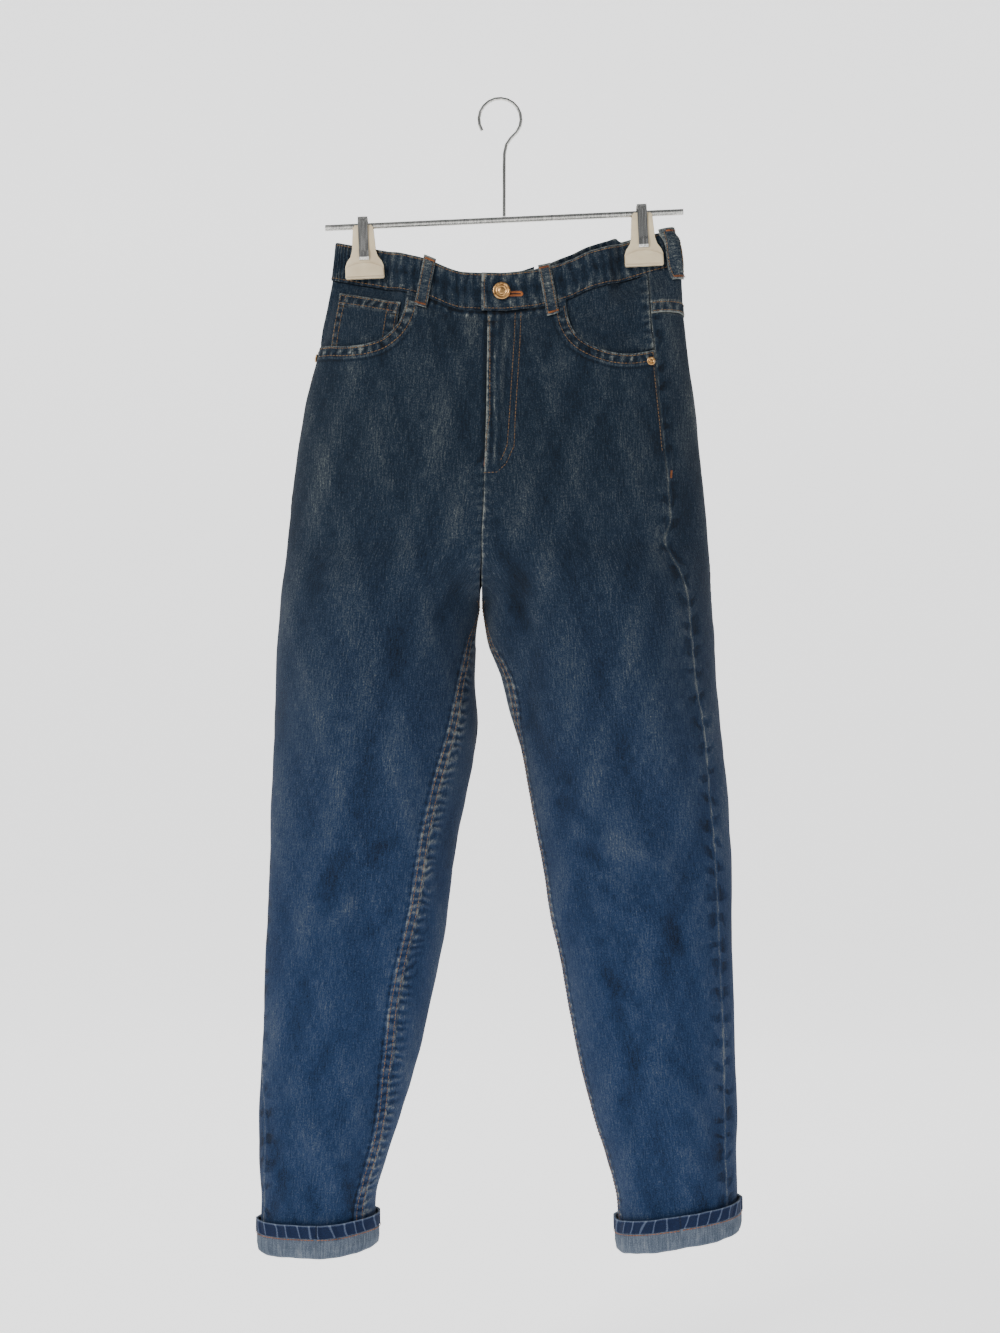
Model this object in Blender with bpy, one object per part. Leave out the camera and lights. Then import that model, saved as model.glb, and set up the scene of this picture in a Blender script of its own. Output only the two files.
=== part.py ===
"""Mom jeans with turned up cuffs, held at the waist by a clip hanger.

Lengths in the tables are millimetres. X runs to the wearer's left, the front faces -Y and Z is up.
The origin is the inner top of the hanger's hook. The cloth is a set of thin walls laid on the
sections of the body and the legs. A section is an oval, and a point on it has an angle: 0 is the
front, 90 the outer side, 180 the back, and -90 or 270 the side of a leg that faces the other leg.
"""

import math
from collections import namedtuple

import bmesh
import bpy
import numpy as np

MM = 0.001
RIGHT = -1  # the wearer's right, at -X
LEFT = 1

CLOTH = 1.2  # one layer of denim
GAP = 0.3  # between pieces
BAND_CLOTH = 2.6  # the doubled waistband
BAND_LIFT = 0.9  # how far the waistband stands out from the panels
WAIST_TOP = -166.0
WAIST_SEAM = -203.0
CROTCH = -482.0
FLY_END = -356.0
FLY_LIFT = 1.5
HEM = -1087.4
SEAM_BAND = 9.0
SEAM_LIFT = 0.8
POCKET_LIFT = 0.95
YOKE_SIDE = -243.0
YOKE_BACK = -266.0
POCKET_FLOOR = -332.0
COIN_ROWS = (-214.0, -224.0, -225.5, -240.0, -252.0, -264.0, -276.0, -287.0)
COIN_PARTS = (0.16, 0.28, 0.41, 0.54, 0.66)
LOOP_WIDTH = 11.5
LOOP_CLOTH = 1.6
BUTTON_RADIUS = 8.4
WIRE = 1.6
BAR_RADIUS = 3.0
HANGER_TILT = math.radians(2.6)

Body = namedtuple("Body", "z right_outer left_outer front back square")
BODY = (
    Body(-166, -155, 163, 11, 12, 3.0),
    Body(-185, -157, 169, 13, 14, 3.0),
    Body(-203, -159, 172, 16, 17, 2.8),
    Body(-228, -164, 173, 26, 27, 2.6),
    Body(-247, -168, 174, 34, 35, 2.5),
    Body(-270, -172, 177, 39, 42, 2.4),
    Body(-300, -181, 181, 46, 52, 2.3),
    Body(-340, -190, 187, 54, 64, 2.2),
    Body(-380, -197, 193, 61, 74, 2.1),
    Body(-430, -203, 198, 65, 80, 2.0),
    Body(-475, -208, 201, 65, 78, 2.0),
    Body(-513, -211, 204, 65, 76, 2.0),
    Body(-551, -213, 205, 65, 74, 2.0),
    Body(-589, -214, 209, 62, 70, 2.0),
    Body(-665, -217, 216, 51, 59, 2.0),
    Body(-741, -219, 220, 43, 51, 2.0),
    Body(-817, -223, 221, 41, 48, 2.0),
    Body(-893, -225, 223, 39, 47, 2.1),
    Body(-969, -229, 225, 38, 45, 2.1),
    Body(-1007, -229, 224, 37, 44, 2.2),
    Body(-1045, -226, 225, 36, 42, 2.2),
    Body(-1095, -226, 225, 36, 42, 2.2),
)

Legs = namedtuple("Legs", "z right_inner left_inner")
LEGS = (
    Legs(-482, -19, -17),
    Legs(-513, -23, -12),
    Legs(-551, -24, 2),
    Legs(-589, -21, 12),
    Legs(-627, -25, 23),
    Legs(-665, -33, 30),
    Legs(-703, -41, 37),
    Legs(-779, -51, 50),
    Legs(-817, -58, 58),
    Legs(-893, -74, 72),
    Legs(-931, -85, 80),
    Legs(-969, -96, 91),
    Legs(-1007, -108, 103),
    Legs(-1045, -118, 112),
    Legs(-1095, -119, 114),
)

# The middle seams, and the angle at which a section ends on them.
Middle = namedtuple("Middle", "z front_x back_x front_turn back_turn")
MIDDLE = (
    Middle(-166, -12, 20, 0, 0),
    Middle(-203, -12, 18, 0, 0),
    Middle(-300, -13, 8, 0, 0),
    Middle(-330, -14, 4, 0, 0),
    Middle(-380, -15, -4, 0, -10),
    Middle(-420, -17, -11, 0, -25),
    Middle(-437, -17, -13, -20, -38),
    Middle(-455, -18, -16, -45, -56),
    Middle(-470, -18, -18, -70, -74),
    Middle(-482, -18, -18, -90, -90),
)

Seams = namedtuple("Seams", "z right_side left_side right_inseam left_inseam")
SEAMS = (
    Seams(-203, 95, 56, -90, -90),
    Seams(-400, 95, 56, -90, -90),
    Seams(-425, 95, 52, -90, -90),
    Seams(-440, 95, 50, -90, -90),
    Seams(-482, 95, 50, -90, -90),
    Seams(-513, 95, 50, -75, -80),
    Seams(-551, 95, 51, -65, -73),
    Seams(-589, 95, 53, -54, -78),
    Seams(-650, 95, 53, -46, -88),
    Seams(-750, 90, 55, -43, -88),
    Seams(-850, 83, 56, -39, -88),
    Seams(-915, 77, 55, -45, -88),
    Seams(-960, 65, 54, -53, -88),
    Seams(-1000, 63, 53, -57, -88),
    Seams(-1060, 70, 52, -54, -88),
    Seams(-1095, 70, 52, -54, -88),
)

# How far the cloth stands above a level waist, at each x.
Sag = namedtuple("Sag", "x rise")
SAG = (
    Sag(-160, 31),
    Sag(-118, 24),
    Sag(-74, 15),
    Sag(-33, 1),
    Sag(0, 0),
    Sag(30, 3),
    Sag(65, 12),
    Sag(85, 21),
    Sag(114, 29),
    Sag(157, 41),
    Sag(170, 43),
)

# Pocket openings: where the curve leaves the waistband, and how far down it ends at the side seam.
Opening = namedtuple("Opening", "side name top_x depth square")
OPENINGS = (
    Opening(RIGHT, "right", -87.5, 65, 2.7),
    Opening(LEFT, "left", 62, 76, 2.2),
)

# Folds: a soft trough (depth above 0) or ridge (below 0) along a line on the front or the back.
Fold = namedtuple("Fold", "face x1 z1 x2 z2 width depth")
FOLDS = (
    Fold("front", -91, -352, -106, -500, 17, 2.2),
    Fold("front", -106, -500, -112, -636, 17, 3.2),
    Fold("front", -112, -636, -119, -690, 16, 4.0),
    Fold("front", -119, -690, -131, -735, 15, 5.5),
    Fold("front", -131, -735, -129, -778, 15, 5.5),
    Fold("front", -129, -778, -118, -825, 17, 3.5),
    Fold("front", -124, -846, -122, -890, 20, 2.0),
    Fold("front", -150, -560, -156, -700, 26, -2.6),
    Fold("front", -76, -620, -88, -760, 22, -2.4),
    Fold("front", -172, -975, -138, -1030, 16, -3.2),
    Fold("front", -186, -1010, -160, -1055, 14, 2.6),
    Fold("front", 17, -430, 21, -500, 11, 3.4),
    Fold("front", 21, -500, 25, -575, 12, 3.4),
    Fold("front", 67, -300, 68, -362, 20, 1.6),
    Fold("front", 88, -416, 93, -532, 24, 3.0),
    Fold("front", 93, -532, 108, -600, 22, 3.4),
    Fold("front", 108, -600, 131, -652, 20, 4.0),
    Fold("front", 131, -652, 158, -690, 18, 4.0),
    Fold("front", 158, -690, 176, -732, 18, 3.4),
    Fold("front", 176, -732, 170, -788, 18, 3.0),
    Fold("front", 108, -728, 127, -744, 14, 2.4),
    Fold("front", 108, -777, 136, -806, 15, 2.6),
    Fold("front", 171, -818, 163, -882, 18, 2.4),
    Fold("front", 121, -938, 146, -1005, 15, 3.2),
    Fold("front", 146, -1005, 154, -1044, 14, 3.4),
    Fold("front", 140, -500, 150, -610, 24, -2.4),
    Fold("front", 178, -930, 186, -1020, 18, -2.2),
    Fold("back", -112, -492, -52, -524, 17, 4.0),
    Fold("back", 98, -488, 40, -526, 17, 4.4),
    Fold("back", -128, -545, -70, -590, 18, 3.0),
    Fold("back", 118, -552, 62, -584, 18, 2.6),
    Fold("back", -150, -640, -112, -735, 19, 3.8),
    Fold("back", -112, -735, -150, -815, 18, 4.4),
    Fold("back", 150, -628, 118, -720, 20, 3.4),
    Fold("back", 118, -720, 156, -800, 18, 4.6),
    Fold("back", -176, -850, -140, -935, 18, 3.0),
    Fold("back", 188, -872, 152, -948, 18, 3.2),
    Fold("back", -196, -985, -158, -1040, 15, 3.6),
    Fold("back", 140, -985, 178, -1036, 15, 3.4),
    Fold("back", -96, -640, -92, -760, 22, -2.4),
    Fold("back", 92, -640, 98, -752, 22, -2.2),
)

# Each clip: the x and z of the spot where the bar runs through it.
Clip = namedtuple("Clip", "name x z")
CLIPS = (
    Clip("right", -130.0, -120.0),
    Clip("left", 134.5, -108.0),
)
PINCH_HALF = 1.9
PINCH_FLAT = 20.5
PINCH_END = 35.0
PINCH_SHIFT = 2.0

# One jaw from its top down: height below the bar, half width and thickness.
Jaw = namedtuple("Jaw", "down half_width thick")
JAW = (
    Jaw(-4.5, 9.0, 2.6),
    Jaw(-3.0, 11.6, 3.6),
    Jaw(14.0, 12.4, 4.2),
    Jaw(26.0, 13.6, 4.2),
    Jaw(35.0, 17.0, 4.2),
    Jaw(36.5, 17.6, 5.6),
    Jaw(45.0, 18.4, 5.6),
    Jaw(47.0, 17.0, 4.4),
)
JAW_INNER = 3.3

# Half of the spring strip, from the end on a jaw up to the top: y out from the middle, height.
Strip = namedtuple("Strip", "out up")
STRIP = (
    Strip(8.5, -33.0),
    Strip(9.9, -30.5),
    Strip(10.1, -26.0),
    Strip(8.7, -22.5),
    Strip(8.5, -12.0),
    Strip(8.3, 2.0),
    Strip(6.8, 6.0),
    Strip(3.4, 8.4),
)

# A belt loop from top to bottom: nominal height and how far its under side stands out.
Loop = namedtuple("Loop", "z out")
LOOP = (
    Loop(-163, 1.3),
    Loop(-167, 1.4),
    Loop(-173, 2.7),
    Loop(-186, 3.2),
    Loop(-198, 2.8),
    Loop(-206, 1.7),
    Loop(-214, 1.0),
)
Place = namedtuple("Place", "name side face top_x bottom_x")
LOOPS = (
    Place("belt_loop_front_right", RIGHT, "front", -66.0, -75.0),
    Place("belt_loop_front_left", LEFT, "front", 41.5, 50.0),
    Place("belt_loop_side_left", LEFT, "front", 162.0, 169.5),
    Place("belt_loop_back_right", RIGHT, "back", -79.0, -81.0),
    Place("belt_loop_back_middle", LEFT, "back", 27.0, 24.0),
)

# The cuff's outline from its rim down the outside, under the fold and up the inside.
Turn = namedtuple("Turn", "out z")
CUFF = (
    Turn(4.7, -1060.0),
    Turn(4.9, -1071.5),
    Turn(3.9, -1072.6),
    Turn(4.1, -1083.0),
    Turn(3.0, -1089.5),
    Turn(0.6, -1091.8),
    Turn(-1.2, -1090.8),
    Turn(-1.2, -1088.3),
    Turn(1.0, -1088.5),
    Turn(2.1, -1085.5),
    Turn(2.4, -1060.6),
)

# Turned pieces: radius and height above the cloth.
Ring = namedtuple("Ring", "radius up")
BUTTON = (
    Ring(0.0, 0.4),
    Ring(6.6, 0.4),
    Ring(8.2, 1.5),
    Ring(8.4, 2.4),
    Ring(7.7, 3.2),
    Ring(6.6, 3.1),
    Ring(6.0, 2.5),
    Ring(3.2, 2.9),
    Ring(0.0, 3.1),
)
RIVET = (
    Ring(0.0, 0.35),
    Ring(3.6, 0.35),
    Ring(4.0, 0.9),
    Ring(3.3, 1.5),
    Ring(1.5, 1.6),
    Ring(0.9, 2.2),
    Ring(0.0, 2.4),
)


def at(rows, name, z, key="z"):
    """The named column of a table at each height, or at each x."""
    keys = np.array([getattr(row, key) for row in rows], float)
    values = np.array([getattr(row, name) for row in rows], float)
    order = np.argsort(keys)
    return np.interp(z, keys[order], values[order])


def smooth(value):
    value = np.clip(value, 0.0, 1.0)
    return value * value * (3.0 - 2.0 * value)


def word(side):
    return "right" if side == RIGHT else "left"


def oval_of(side, z, back):
    """The middle x and the half width of the front or back half of a section."""
    outer = at(BODY, word(side) + "_outer", z)
    apart = 0.15 + 0.85 * smooth((-420.0 - z) / 62.0)
    middle = np.where(back, at(MIDDLE, "back_x", z), at(MIDDLE, "front_x", z)) + side * apart
    inner = np.where(z > CROTCH, middle, at(LEGS, word(side) + "_inner", z))
    turn = np.where(back, at(MIDDLE, "back_turn", z), at(MIDDLE, "front_turn", z))
    half = np.abs(outer - inner) / (1.0 - np.sin(np.radians(turn)))
    return outer - side * half, half


def pinch(x, y, z):
    """The clips press the waist flat."""
    weight = np.zeros_like(x)
    for clip in CLIPS:
        away = np.abs(x - clip.x - PINCH_SHIFT)
        near = smooth((PINCH_END - away) / (PINCH_END - PINCH_FLAT))
        weight = np.maximum(weight, near)
    weight = weight * smooth((z + 227.0) / 31.0)
    return y + (PINCH_HALF * np.clip(y / 3.0, -1.0, 1.0) - y) * weight


def section(side, z, angle):
    angle = (angle + 90.0) % 360.0 - 90.0
    back = angle > 90.0
    turn = np.radians(np.where(back, 180.0 - angle, angle))
    middle, half = oval_of(side, z, back)
    power = at(BODY, "square", z)
    reach = np.clip(1.0 - np.abs(np.sin(turn)) ** power, 0.0, 1.0) ** (1.0 / power)
    depth = np.where(back, at(BODY, "back", z), -at(BODY, "front", z))
    x = middle + side * half * np.sin(turn)
    return x, pinch(x, depth * reach, z)


def shift(side, x, y, z):
    """How far a point stands above its level height: the sagging waist and the tilted hems."""
    rise = at(SAG, "rise", x, "x") * smooth((z + 440.0) / 180.0)
    peek = smooth((x - 5.0) / 60.0) * smooth((165.0 - x) / 50.0)
    rise = rise + 8.0 * peek * smooth(y / 6.0) * smooth((z + 300.0) / 90.0)
    low = smooth((-940.0 - z) / 130.0)
    if side == LEFT:
        return rise + 19.0 * low * (x - 116.0) / 112.0
    return rise + 6.0 * low * smooth((x + 160.0) / 45.0)


def fold_depth(x, y, z):
    """How far in the folds press the cloth, from the deepest trough and the highest ridge."""
    trough = np.zeros_like(x)
    ridge = np.zeros_like(x)
    for fold in FOLDS:
        facing = smooth(-y / 20.0) if fold.face == "front" else smooth(y / 20.0)
        run = np.array([fold.x2 - fold.x1, fold.z2 - fold.z1], float)
        along = ((x - fold.x1) * run[0] + (z - fold.z1) * run[1]) / (run @ run)
        along = np.clip(along, 0.0, 1.0)
        away = np.hypot(x - fold.x1 - along * run[0], z - fold.z1 - along * run[1])
        press = facing * abs(fold.depth) * np.exp(-((away / fold.width) ** 2))
        if fold.depth > 0:
            trough = np.maximum(trough, press)
        else:
            ridge = np.maximum(ridge, press)
    middle = at(MIDDLE, "front_x", z)
    free = np.where(z > -520.0, smooth(np.abs(x - middle) / 14.0), 1.0)
    return (trough - ridge) * free


def surface(side, z, angle, lift=0.0):
    """Points on the outer face of the cloth, moved out by lift."""
    z, angle, lift = np.broadcast_arrays(
        np.asarray(z, float), np.asarray(angle, float), np.asarray(lift, float)
    )
    x, y = section(side, z, angle)
    x1, y1 = section(side, z, angle - 1.5)
    x2, y2 = section(side, z, angle + 1.5)
    run = np.hypot(x2 - x1, y2 - y1)
    normal_x = side * (y2 - y1) / run
    normal_y = -side * (x2 - x1) / run
    height = z + shift(side, x, y, z)
    out = lift - fold_depth(x, y, height)
    return np.stack([x + normal_x * out, y + normal_y * out, height], axis=-1)


def angle_at(side, z, x, face="front"):
    """The angle of the point of the front or back that has this x."""
    middle, half = oval_of(side, z, face == "back")
    turn = np.degrees(np.arcsin(np.clip(side * (x - middle) / half, -1.0, 1.0)))
    return 180.0 - turn if face == "back" else turn


def degrees_for(side, z, length, angle):
    """The angle that a length along the section spans near an angle."""
    x1, y1 = section(side, z, angle - 2.0)
    x2, y2 = section(side, z, angle + 2.0)
    return length * 4.0 / np.hypot(x2 - x1, y2 - y1)


def look(name, colour, roughness, metallic=0.0):
    material = bpy.data.materials.get(name)
    if material:
        return material
    material = bpy.data.materials.new(name)
    material.use_nodes = True
    shader = material.node_tree.nodes["Principled BSDF"]
    shader.inputs["Base Color"].default_value = (*colour, 1.0)
    shader.inputs["Roughness"].default_value = roughness
    shader.inputs["Metallic"].default_value = metallic
    material.diffuse_color = (*colour, 1.0)
    return material


def denim():
    return look("denim", (0.035, 0.068, 0.13), 0.9)


def denim_inside():
    return look("denim_inside", (0.14, 0.17, 0.2), 0.9)


def brass():
    return look("brass", (0.38, 0.22, 0.1), 0.35, 1.0)


def steel():
    return look("steel", (0.55, 0.55, 0.56), 0.3, 1.0)


def plastic():
    return look("hanger_plastic", (0.7, 0.58, 0.4), 0.45)


def finish(name, points, faces, material):
    mesh = bpy.data.meshes.new(name)
    mesh.from_pydata([tuple(p) for p in np.asarray(points) * MM], [], faces)
    work = bmesh.new()
    work.from_mesh(mesh)
    bmesh.ops.recalc_face_normals(work, faces=work.faces)
    work.to_mesh(mesh)
    work.free()
    mesh.shade_smooth()
    mesh.materials.append(material)
    thing = bpy.data.objects.new(name, mesh)
    bpy.context.scene.collection.objects.link(thing)
    return thing


def shell(name, outer, inner, material):
    """A closed sheet between two grids of points."""
    rows, columns = outer.shape[:2]
    count = rows * columns
    faces = []
    for r in range(rows - 1):
        for c in range(columns - 1):
            a = r * columns + c
            b = a + 1
            d = a + columns
            e = d + 1
            faces += [(a, b, e), (a, e, d)]
            faces += [(count + a, count + e, count + b), (count + a, count + d, count + e)]
    rim = [c for c in range(columns)]
    rim += [r * columns + columns - 1 for r in range(1, rows)]
    rim += [(rows - 1) * columns + c for c in range(columns - 2, -1, -1)]
    rim += [r * columns for r in range(rows - 2, 0, -1)]
    for a, b in zip(rim, rim[1:] + rim[:1]):
        faces += [(a, count + a, count + b), (a, count + b, b)]
    points = np.concatenate([outer.reshape(-1, 3), inner.reshape(-1, 3)])
    return finish(name, points, faces, material)


def skin(name, loops, material, round_path=False):
    """A body through a row of closed loops: capped at its ends, or joined end to end."""
    loops = np.asarray(loops, float)
    count, size = loops.shape[:2]
    faces = []
    for m in range(count if round_path else count - 1):
        for k in range(size):
            a = m * size + k
            b = m * size + (k + 1) % size
            d = (m + 1) % count * size + k
            e = (m + 1) % count * size + (k + 1) % size
            faces += [(a, b, e), (a, e, d)]
    if not round_path:
        faces.append(tuple(range(size)))
        faces.append(tuple((count - 1) * size + k for k in range(size)))
    return finish(name, loops.reshape(-1, 3), faces, material)


def turned(name, profile, centre, axis, material, steps=20):
    """A round piece: a profile of radius and height turned about an axis at a point."""
    axis = axis / np.linalg.norm(axis)
    across = np.cross(axis, (0.0, 0.0, 1.0))
    across = across / np.linalg.norm(across)
    over = np.cross(axis, across)
    points = [centre + axis * profile[0].up]
    for ring in profile[1:-1]:
        for k in range(steps):
            turn = 2.0 * math.pi * k / steps
            arm = across * math.cos(turn) + over * math.sin(turn)
            points.append(centre + axis * ring.up + arm * ring.radius)
    points.append(centre + axis * profile[-1].up)
    rings = len(profile) - 2
    last = len(points) - 1
    faces = []
    for k in range(steps):
        n = (k + 1) % steps
        faces.append((0, 1 + n, 1 + k))
        for r in range(rings - 1):
            a = 1 + r * steps
            faces.append((a + k, a + n, a + steps + n, a + steps + k))
        a = 1 + (rings - 1) * steps
        faces.append((a + k, a + n, last))
    return finish(name, points, faces, material)


def opening_drop(opening, share):
    """How far down the pocket edge is at a share of the way from its top (0) to the side seam (1)."""
    return opening.depth * (1.0 - (1.0 - share) ** opening.square) ** (1.0 / opening.square)


def panel_rows():
    upper = [-292, -308, -325, -341, FLY_END, -368, -386, -404, -420, -430, -440, -450, -461, -472]
    lower = [-482, -498, -520, -551, -585, -620, -656, -694, -733, -772, -811, -850, -890, -930]
    return np.array(upper + lower + [-968, -1003, -1032, -1060, HEM], float)


def front_panel(side):
    opening = OPENINGS[0] if side == RIGHT else OPENINGS[1]
    low = panel_rows()
    seam_sine = np.sin(np.radians(min(90.0, at(SEAMS, word(side) + "_side", WAIST_SEAM))))
    top_angle = angle_at(side, WAIST_SEAM, opening.top_x)
    share = np.array([0.0, 0.03, 0.1, 0.22, 0.38, 0.56, 0.74, 0.88, 0.97, 1.0])
    top_sine = np.sin(np.radians(top_angle))
    curve = np.degrees(np.arcsin(top_sine + (seam_sine - top_sine) * share))
    columns = len(share) + 4
    drop = np.concatenate([np.zeros(4), opening_drop(opening, share)])
    steps = 5
    heights = [WAIST_SEAM - GAP - drop + (low[0] - WAIST_SEAM + drop) * k / steps for k in range(steps)]
    heights += [np.full(columns, z) for z in low]
    heights = np.array(heights)
    angles = np.zeros_like(heights)
    for r, row in enumerate(heights):
        z = row[-1]
        turn = at(MIDDLE, "front_turn", z) if z > CROTCH else at(SEAMS, word(side) + "_inseam", z)
        first = turn + (degrees_for(side, z, GAP / 2, turn) if z <= CROTCH else 0.0)
        if side == RIGHT and z > FLY_END + 1.0:
            first = angle_at(side, z, at(MIDDLE, "front_x", z) + 9.5)
        last = at(SEAMS, word(side) + "_side", z)
        last = last - degrees_for(side, z, GAP / 2, last)
        start = [first, first + degrees_for(side, z, SEAM_BAND, turn + 6.0)]
        start.append(first + degrees_for(side, z, SEAM_BAND + 1.2, turn + 6.0))
        if z > FLY_END - 1.0:
            start[1] = angle_at(side, z, at(MIDDLE, "front_x", z) + side * 11.0)
            start[2] = angle_at(side, z, at(MIDDLE, "front_x", z) + side * 18.0)
        even = start[2] + (last - start[2]) * np.arange(1, columns - 2) / (columns - 3)
        even = np.concatenate([start, even])
        shaped = np.concatenate([start, [0.5 * (start[2] + top_angle)], curve])
        shaped[-1] = last
        if side == LEFT:
            shaped[-3:-1] = shaped[-4] + (last - shaped[-4]) * np.array([0.5, 0.83])
        angles[r] = shaped + (even - shaped) * smooth((low[0] - z) / 130.0)
    lift = np.zeros_like(heights)
    seam = SEAM_LIFT * smooth((-490.0 - heights[:, :2]) / 45.0)
    lift[:, :2] = seam
    if side == LEFT:
        lift[:, :2] += np.where(heights[:, :2] > FLY_END - 1.0, FLY_LIFT, 0.0)
    outer = surface(side, heights, angles, lift)
    inner_lift = np.full_like(heights, -CLOTH)
    if side == LEFT:
        inner_lift[:, :2] += np.where(heights[:, :2] > FLY_END - 1.0, FLY_LIFT, 0.0)
    inner = surface(side, heights, angles, inner_lift)
    shell("front_panel_" + word(side), outer, inner, denim())


def yoke_seam(share):
    """The height of the yoke seam, from the side seam (0) to the middle of the back (1)."""
    return YOKE_SIDE + (YOKE_BACK - YOKE_SIDE) * share


def back_angles(side, z, columns):
    first = at(SEAMS, word(side) + "_side", z)
    first = first + degrees_for(side, z, GAP / 2, first)
    if z > CROTCH:
        last = 180.0 - at(MIDDLE, "back_turn", z)
    else:
        last = 360.0 + at(SEAMS, word(side) + "_inseam", z)
        last = last - degrees_for(side, z, GAP / 2, last)
    return np.linspace(first, last, columns)


def back_panel(side):
    columns = 13
    share = np.linspace(0.0, 1.0, columns)
    low = panel_rows()
    top = yoke_seam(share) - GAP
    heights = np.array([top + (low[0] - top) * k / 2 for k in range(2)] + [np.full(columns, z) for z in low])
    angles = np.array([back_angles(side, row[0], columns) for row in heights])
    outer = surface(side, heights, angles)
    inner = surface(side, heights, angles, -CLOTH)
    shell("back_panel_" + word(side), outer, inner, denim())


def yoke(side):
    columns = 13
    share = np.linspace(0.0, 1.0, columns)
    low = yoke_seam(share)
    top = np.full(columns, WAIST_SEAM - 2.0 * GAP)
    upper = [top + (low + 12.0 - top) * k / 3 for k in range(4)]
    heights = np.array([*upper, low + 11.0, low])
    lifts = np.array([0.0, 0.0, 0.0, 0.0, SEAM_LIFT, SEAM_LIFT])[:, None] + np.zeros(columns)
    angles = np.array([back_angles(side, row[0], columns) for row in heights])
    outer = surface(side, heights, angles, lifts)
    inner = surface(side, heights, angles, -CLOTH)
    shell("yoke_" + word(side), outer, inner, denim())


def band_lift(side, x, y):
    """The wearer's left end of the waistband lies on the right end."""
    if side == RIGHT:
        return np.zeros_like(x)
    return np.where(y < 0.0, (BAND_CLOTH + GAP) * smooth((30.0 - x) / 10.0), 0.0)


def waist_angles(side, z):
    """Angles from the front to the back, at the columns of the panels and the edges of the clip."""
    opening = OPENINGS[0] if side == RIGHT else OPENINGS[1]
    first = angle_at(side, z, opening.top_x)
    kept = [angle_at(side, z, at(MIDDLE, "front_x", z) + side * x) for x in (18.0, 34.0)]
    kept += [first - 9.0, *np.linspace(first, 84.0, 8), *back_angles(side, WAIST_SEAM, 13)]
    for clip in CLIPS:
        if (clip.x > 0.0) == (side == LEFT):
            for away in (-PINCH_END, -PINCH_FLAT, 0.0, PINCH_FLAT):
                kept.append(angle_at(side, z, clip.x + PINCH_SHIFT + away))
                kept.append(angle_at(side, z, clip.x + PINCH_SHIFT + away, "back"))
    kept = sorted(kept)
    return np.array([turn for turn, before in zip(kept, [0.0] + kept) if turn - before > 1.2])


def waistband():
    z = np.array([WAIST_TOP, -180.0, -195.0, WAIST_SEAM + GAP])
    over = [angle_at(LEFT, z[1], x) for x in (-17.5, 2.0, 19.0, 30.0)]
    left = np.concatenate([over, [turn for turn in waist_angles(LEFT, z[1]) if turn > over[-1] + 2.0]])
    right = np.concatenate([waist_angles(RIGHT, z[1])[::-1][1:], [angle_at(RIGHT, z[1], 16.0)]])
    loops = []
    for side, turns in ((LEFT, left), (RIGHT, right)):
        for turn in turns:
            x, y = section(side, z, np.full(4, turn))
            lift = BAND_LIFT + band_lift(side, x, y)
            outer = surface(side, z, turn, lift + np.array([-0.25, 0.0, 0.0, -0.15]))
            inner = surface(side, z[::-1], turn, (lift - BAND_CLOTH)[::-1])
            loops.append(np.concatenate([outer, inner]))
    skin("waistband", loops, denim())


def pocket_depth(opening, low, z, part):
    """How far the pocket's inner layer lies below the face of the panel, at a part of its width."""
    room = smooth(part / 0.2) * smooth((1.0 - part) / 0.2)
    room = room * smooth((z - low) / 24.0) * smooth((WAIST_SEAM - z) / 20.0)
    deep = 2.1 + 2.5 * room + 0.6 * smooth((part - 0.8) / 0.2)
    open_end = WAIST_SEAM - opening.depth
    beside = smooth((z - open_end - 6.0) / 14.0) * smooth((part - 0.84) / 0.16)
    return deep + (0.4 - deep) * beside


def pocket_grid(opening, z, part):
    """Heights, angles and depths of the pocket's inner layer."""
    side = opening.side
    low = POCKET_FLOOR if side == RIGHT else POCKET_FLOOR - 10.0
    heights = np.repeat(z[:, None], len(part), axis=1)
    angles = []
    for row in z:
        first = angle_at(side, WAIST_SEAM, opening.top_x) - 9.0
        last = at(SEAMS, word(side) + "_side", row)
        last = last - degrees_for(side, row, GAP, last)
        angles.append(first + (last - first) * part)
    parts = np.repeat(part[None, :], len(z), axis=0)
    return heights, np.array(angles), pocket_depth(opening, low, heights, parts)


def pocket_facing(opening):
    """The pocket's inner layer, shown in the opening. The front panel closes the pocket over it."""
    low = POCKET_FLOOR if opening.side == RIGHT else POCKET_FLOOR - 10.0
    z = np.array([WAIST_SEAM - GAP, -208.0, *COIN_ROWS, -302.0, -317.0, low])
    part = np.array([0.0, 0.08, *COIN_PARTS, 0.76, 0.86, 0.94, 1.0])
    heights, angles, deep = pocket_grid(opening, z, part)
    outer = surface(opening.side, heights, angles, -deep)
    inner = surface(opening.side, heights, angles, -deep - 1.0)
    shell("pocket_facing_" + opening.name, outer, inner, denim())


def coin_pocket():
    """A small pocket on the wearer's right facing, with a thicker hem at its top."""
    opening = OPENINGS[0]
    heights, angles, deep = pocket_grid(opening, np.array(COIN_ROWS), np.array(COIN_PARTS))
    thick = np.where(heights > -225.0, 1.5, 1.0)
    outer = surface(RIGHT, heights, angles, GAP - deep + thick)
    inner = surface(RIGHT, heights, angles, GAP - deep)
    shell("coin_pocket", outer, inner, denim())


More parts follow.
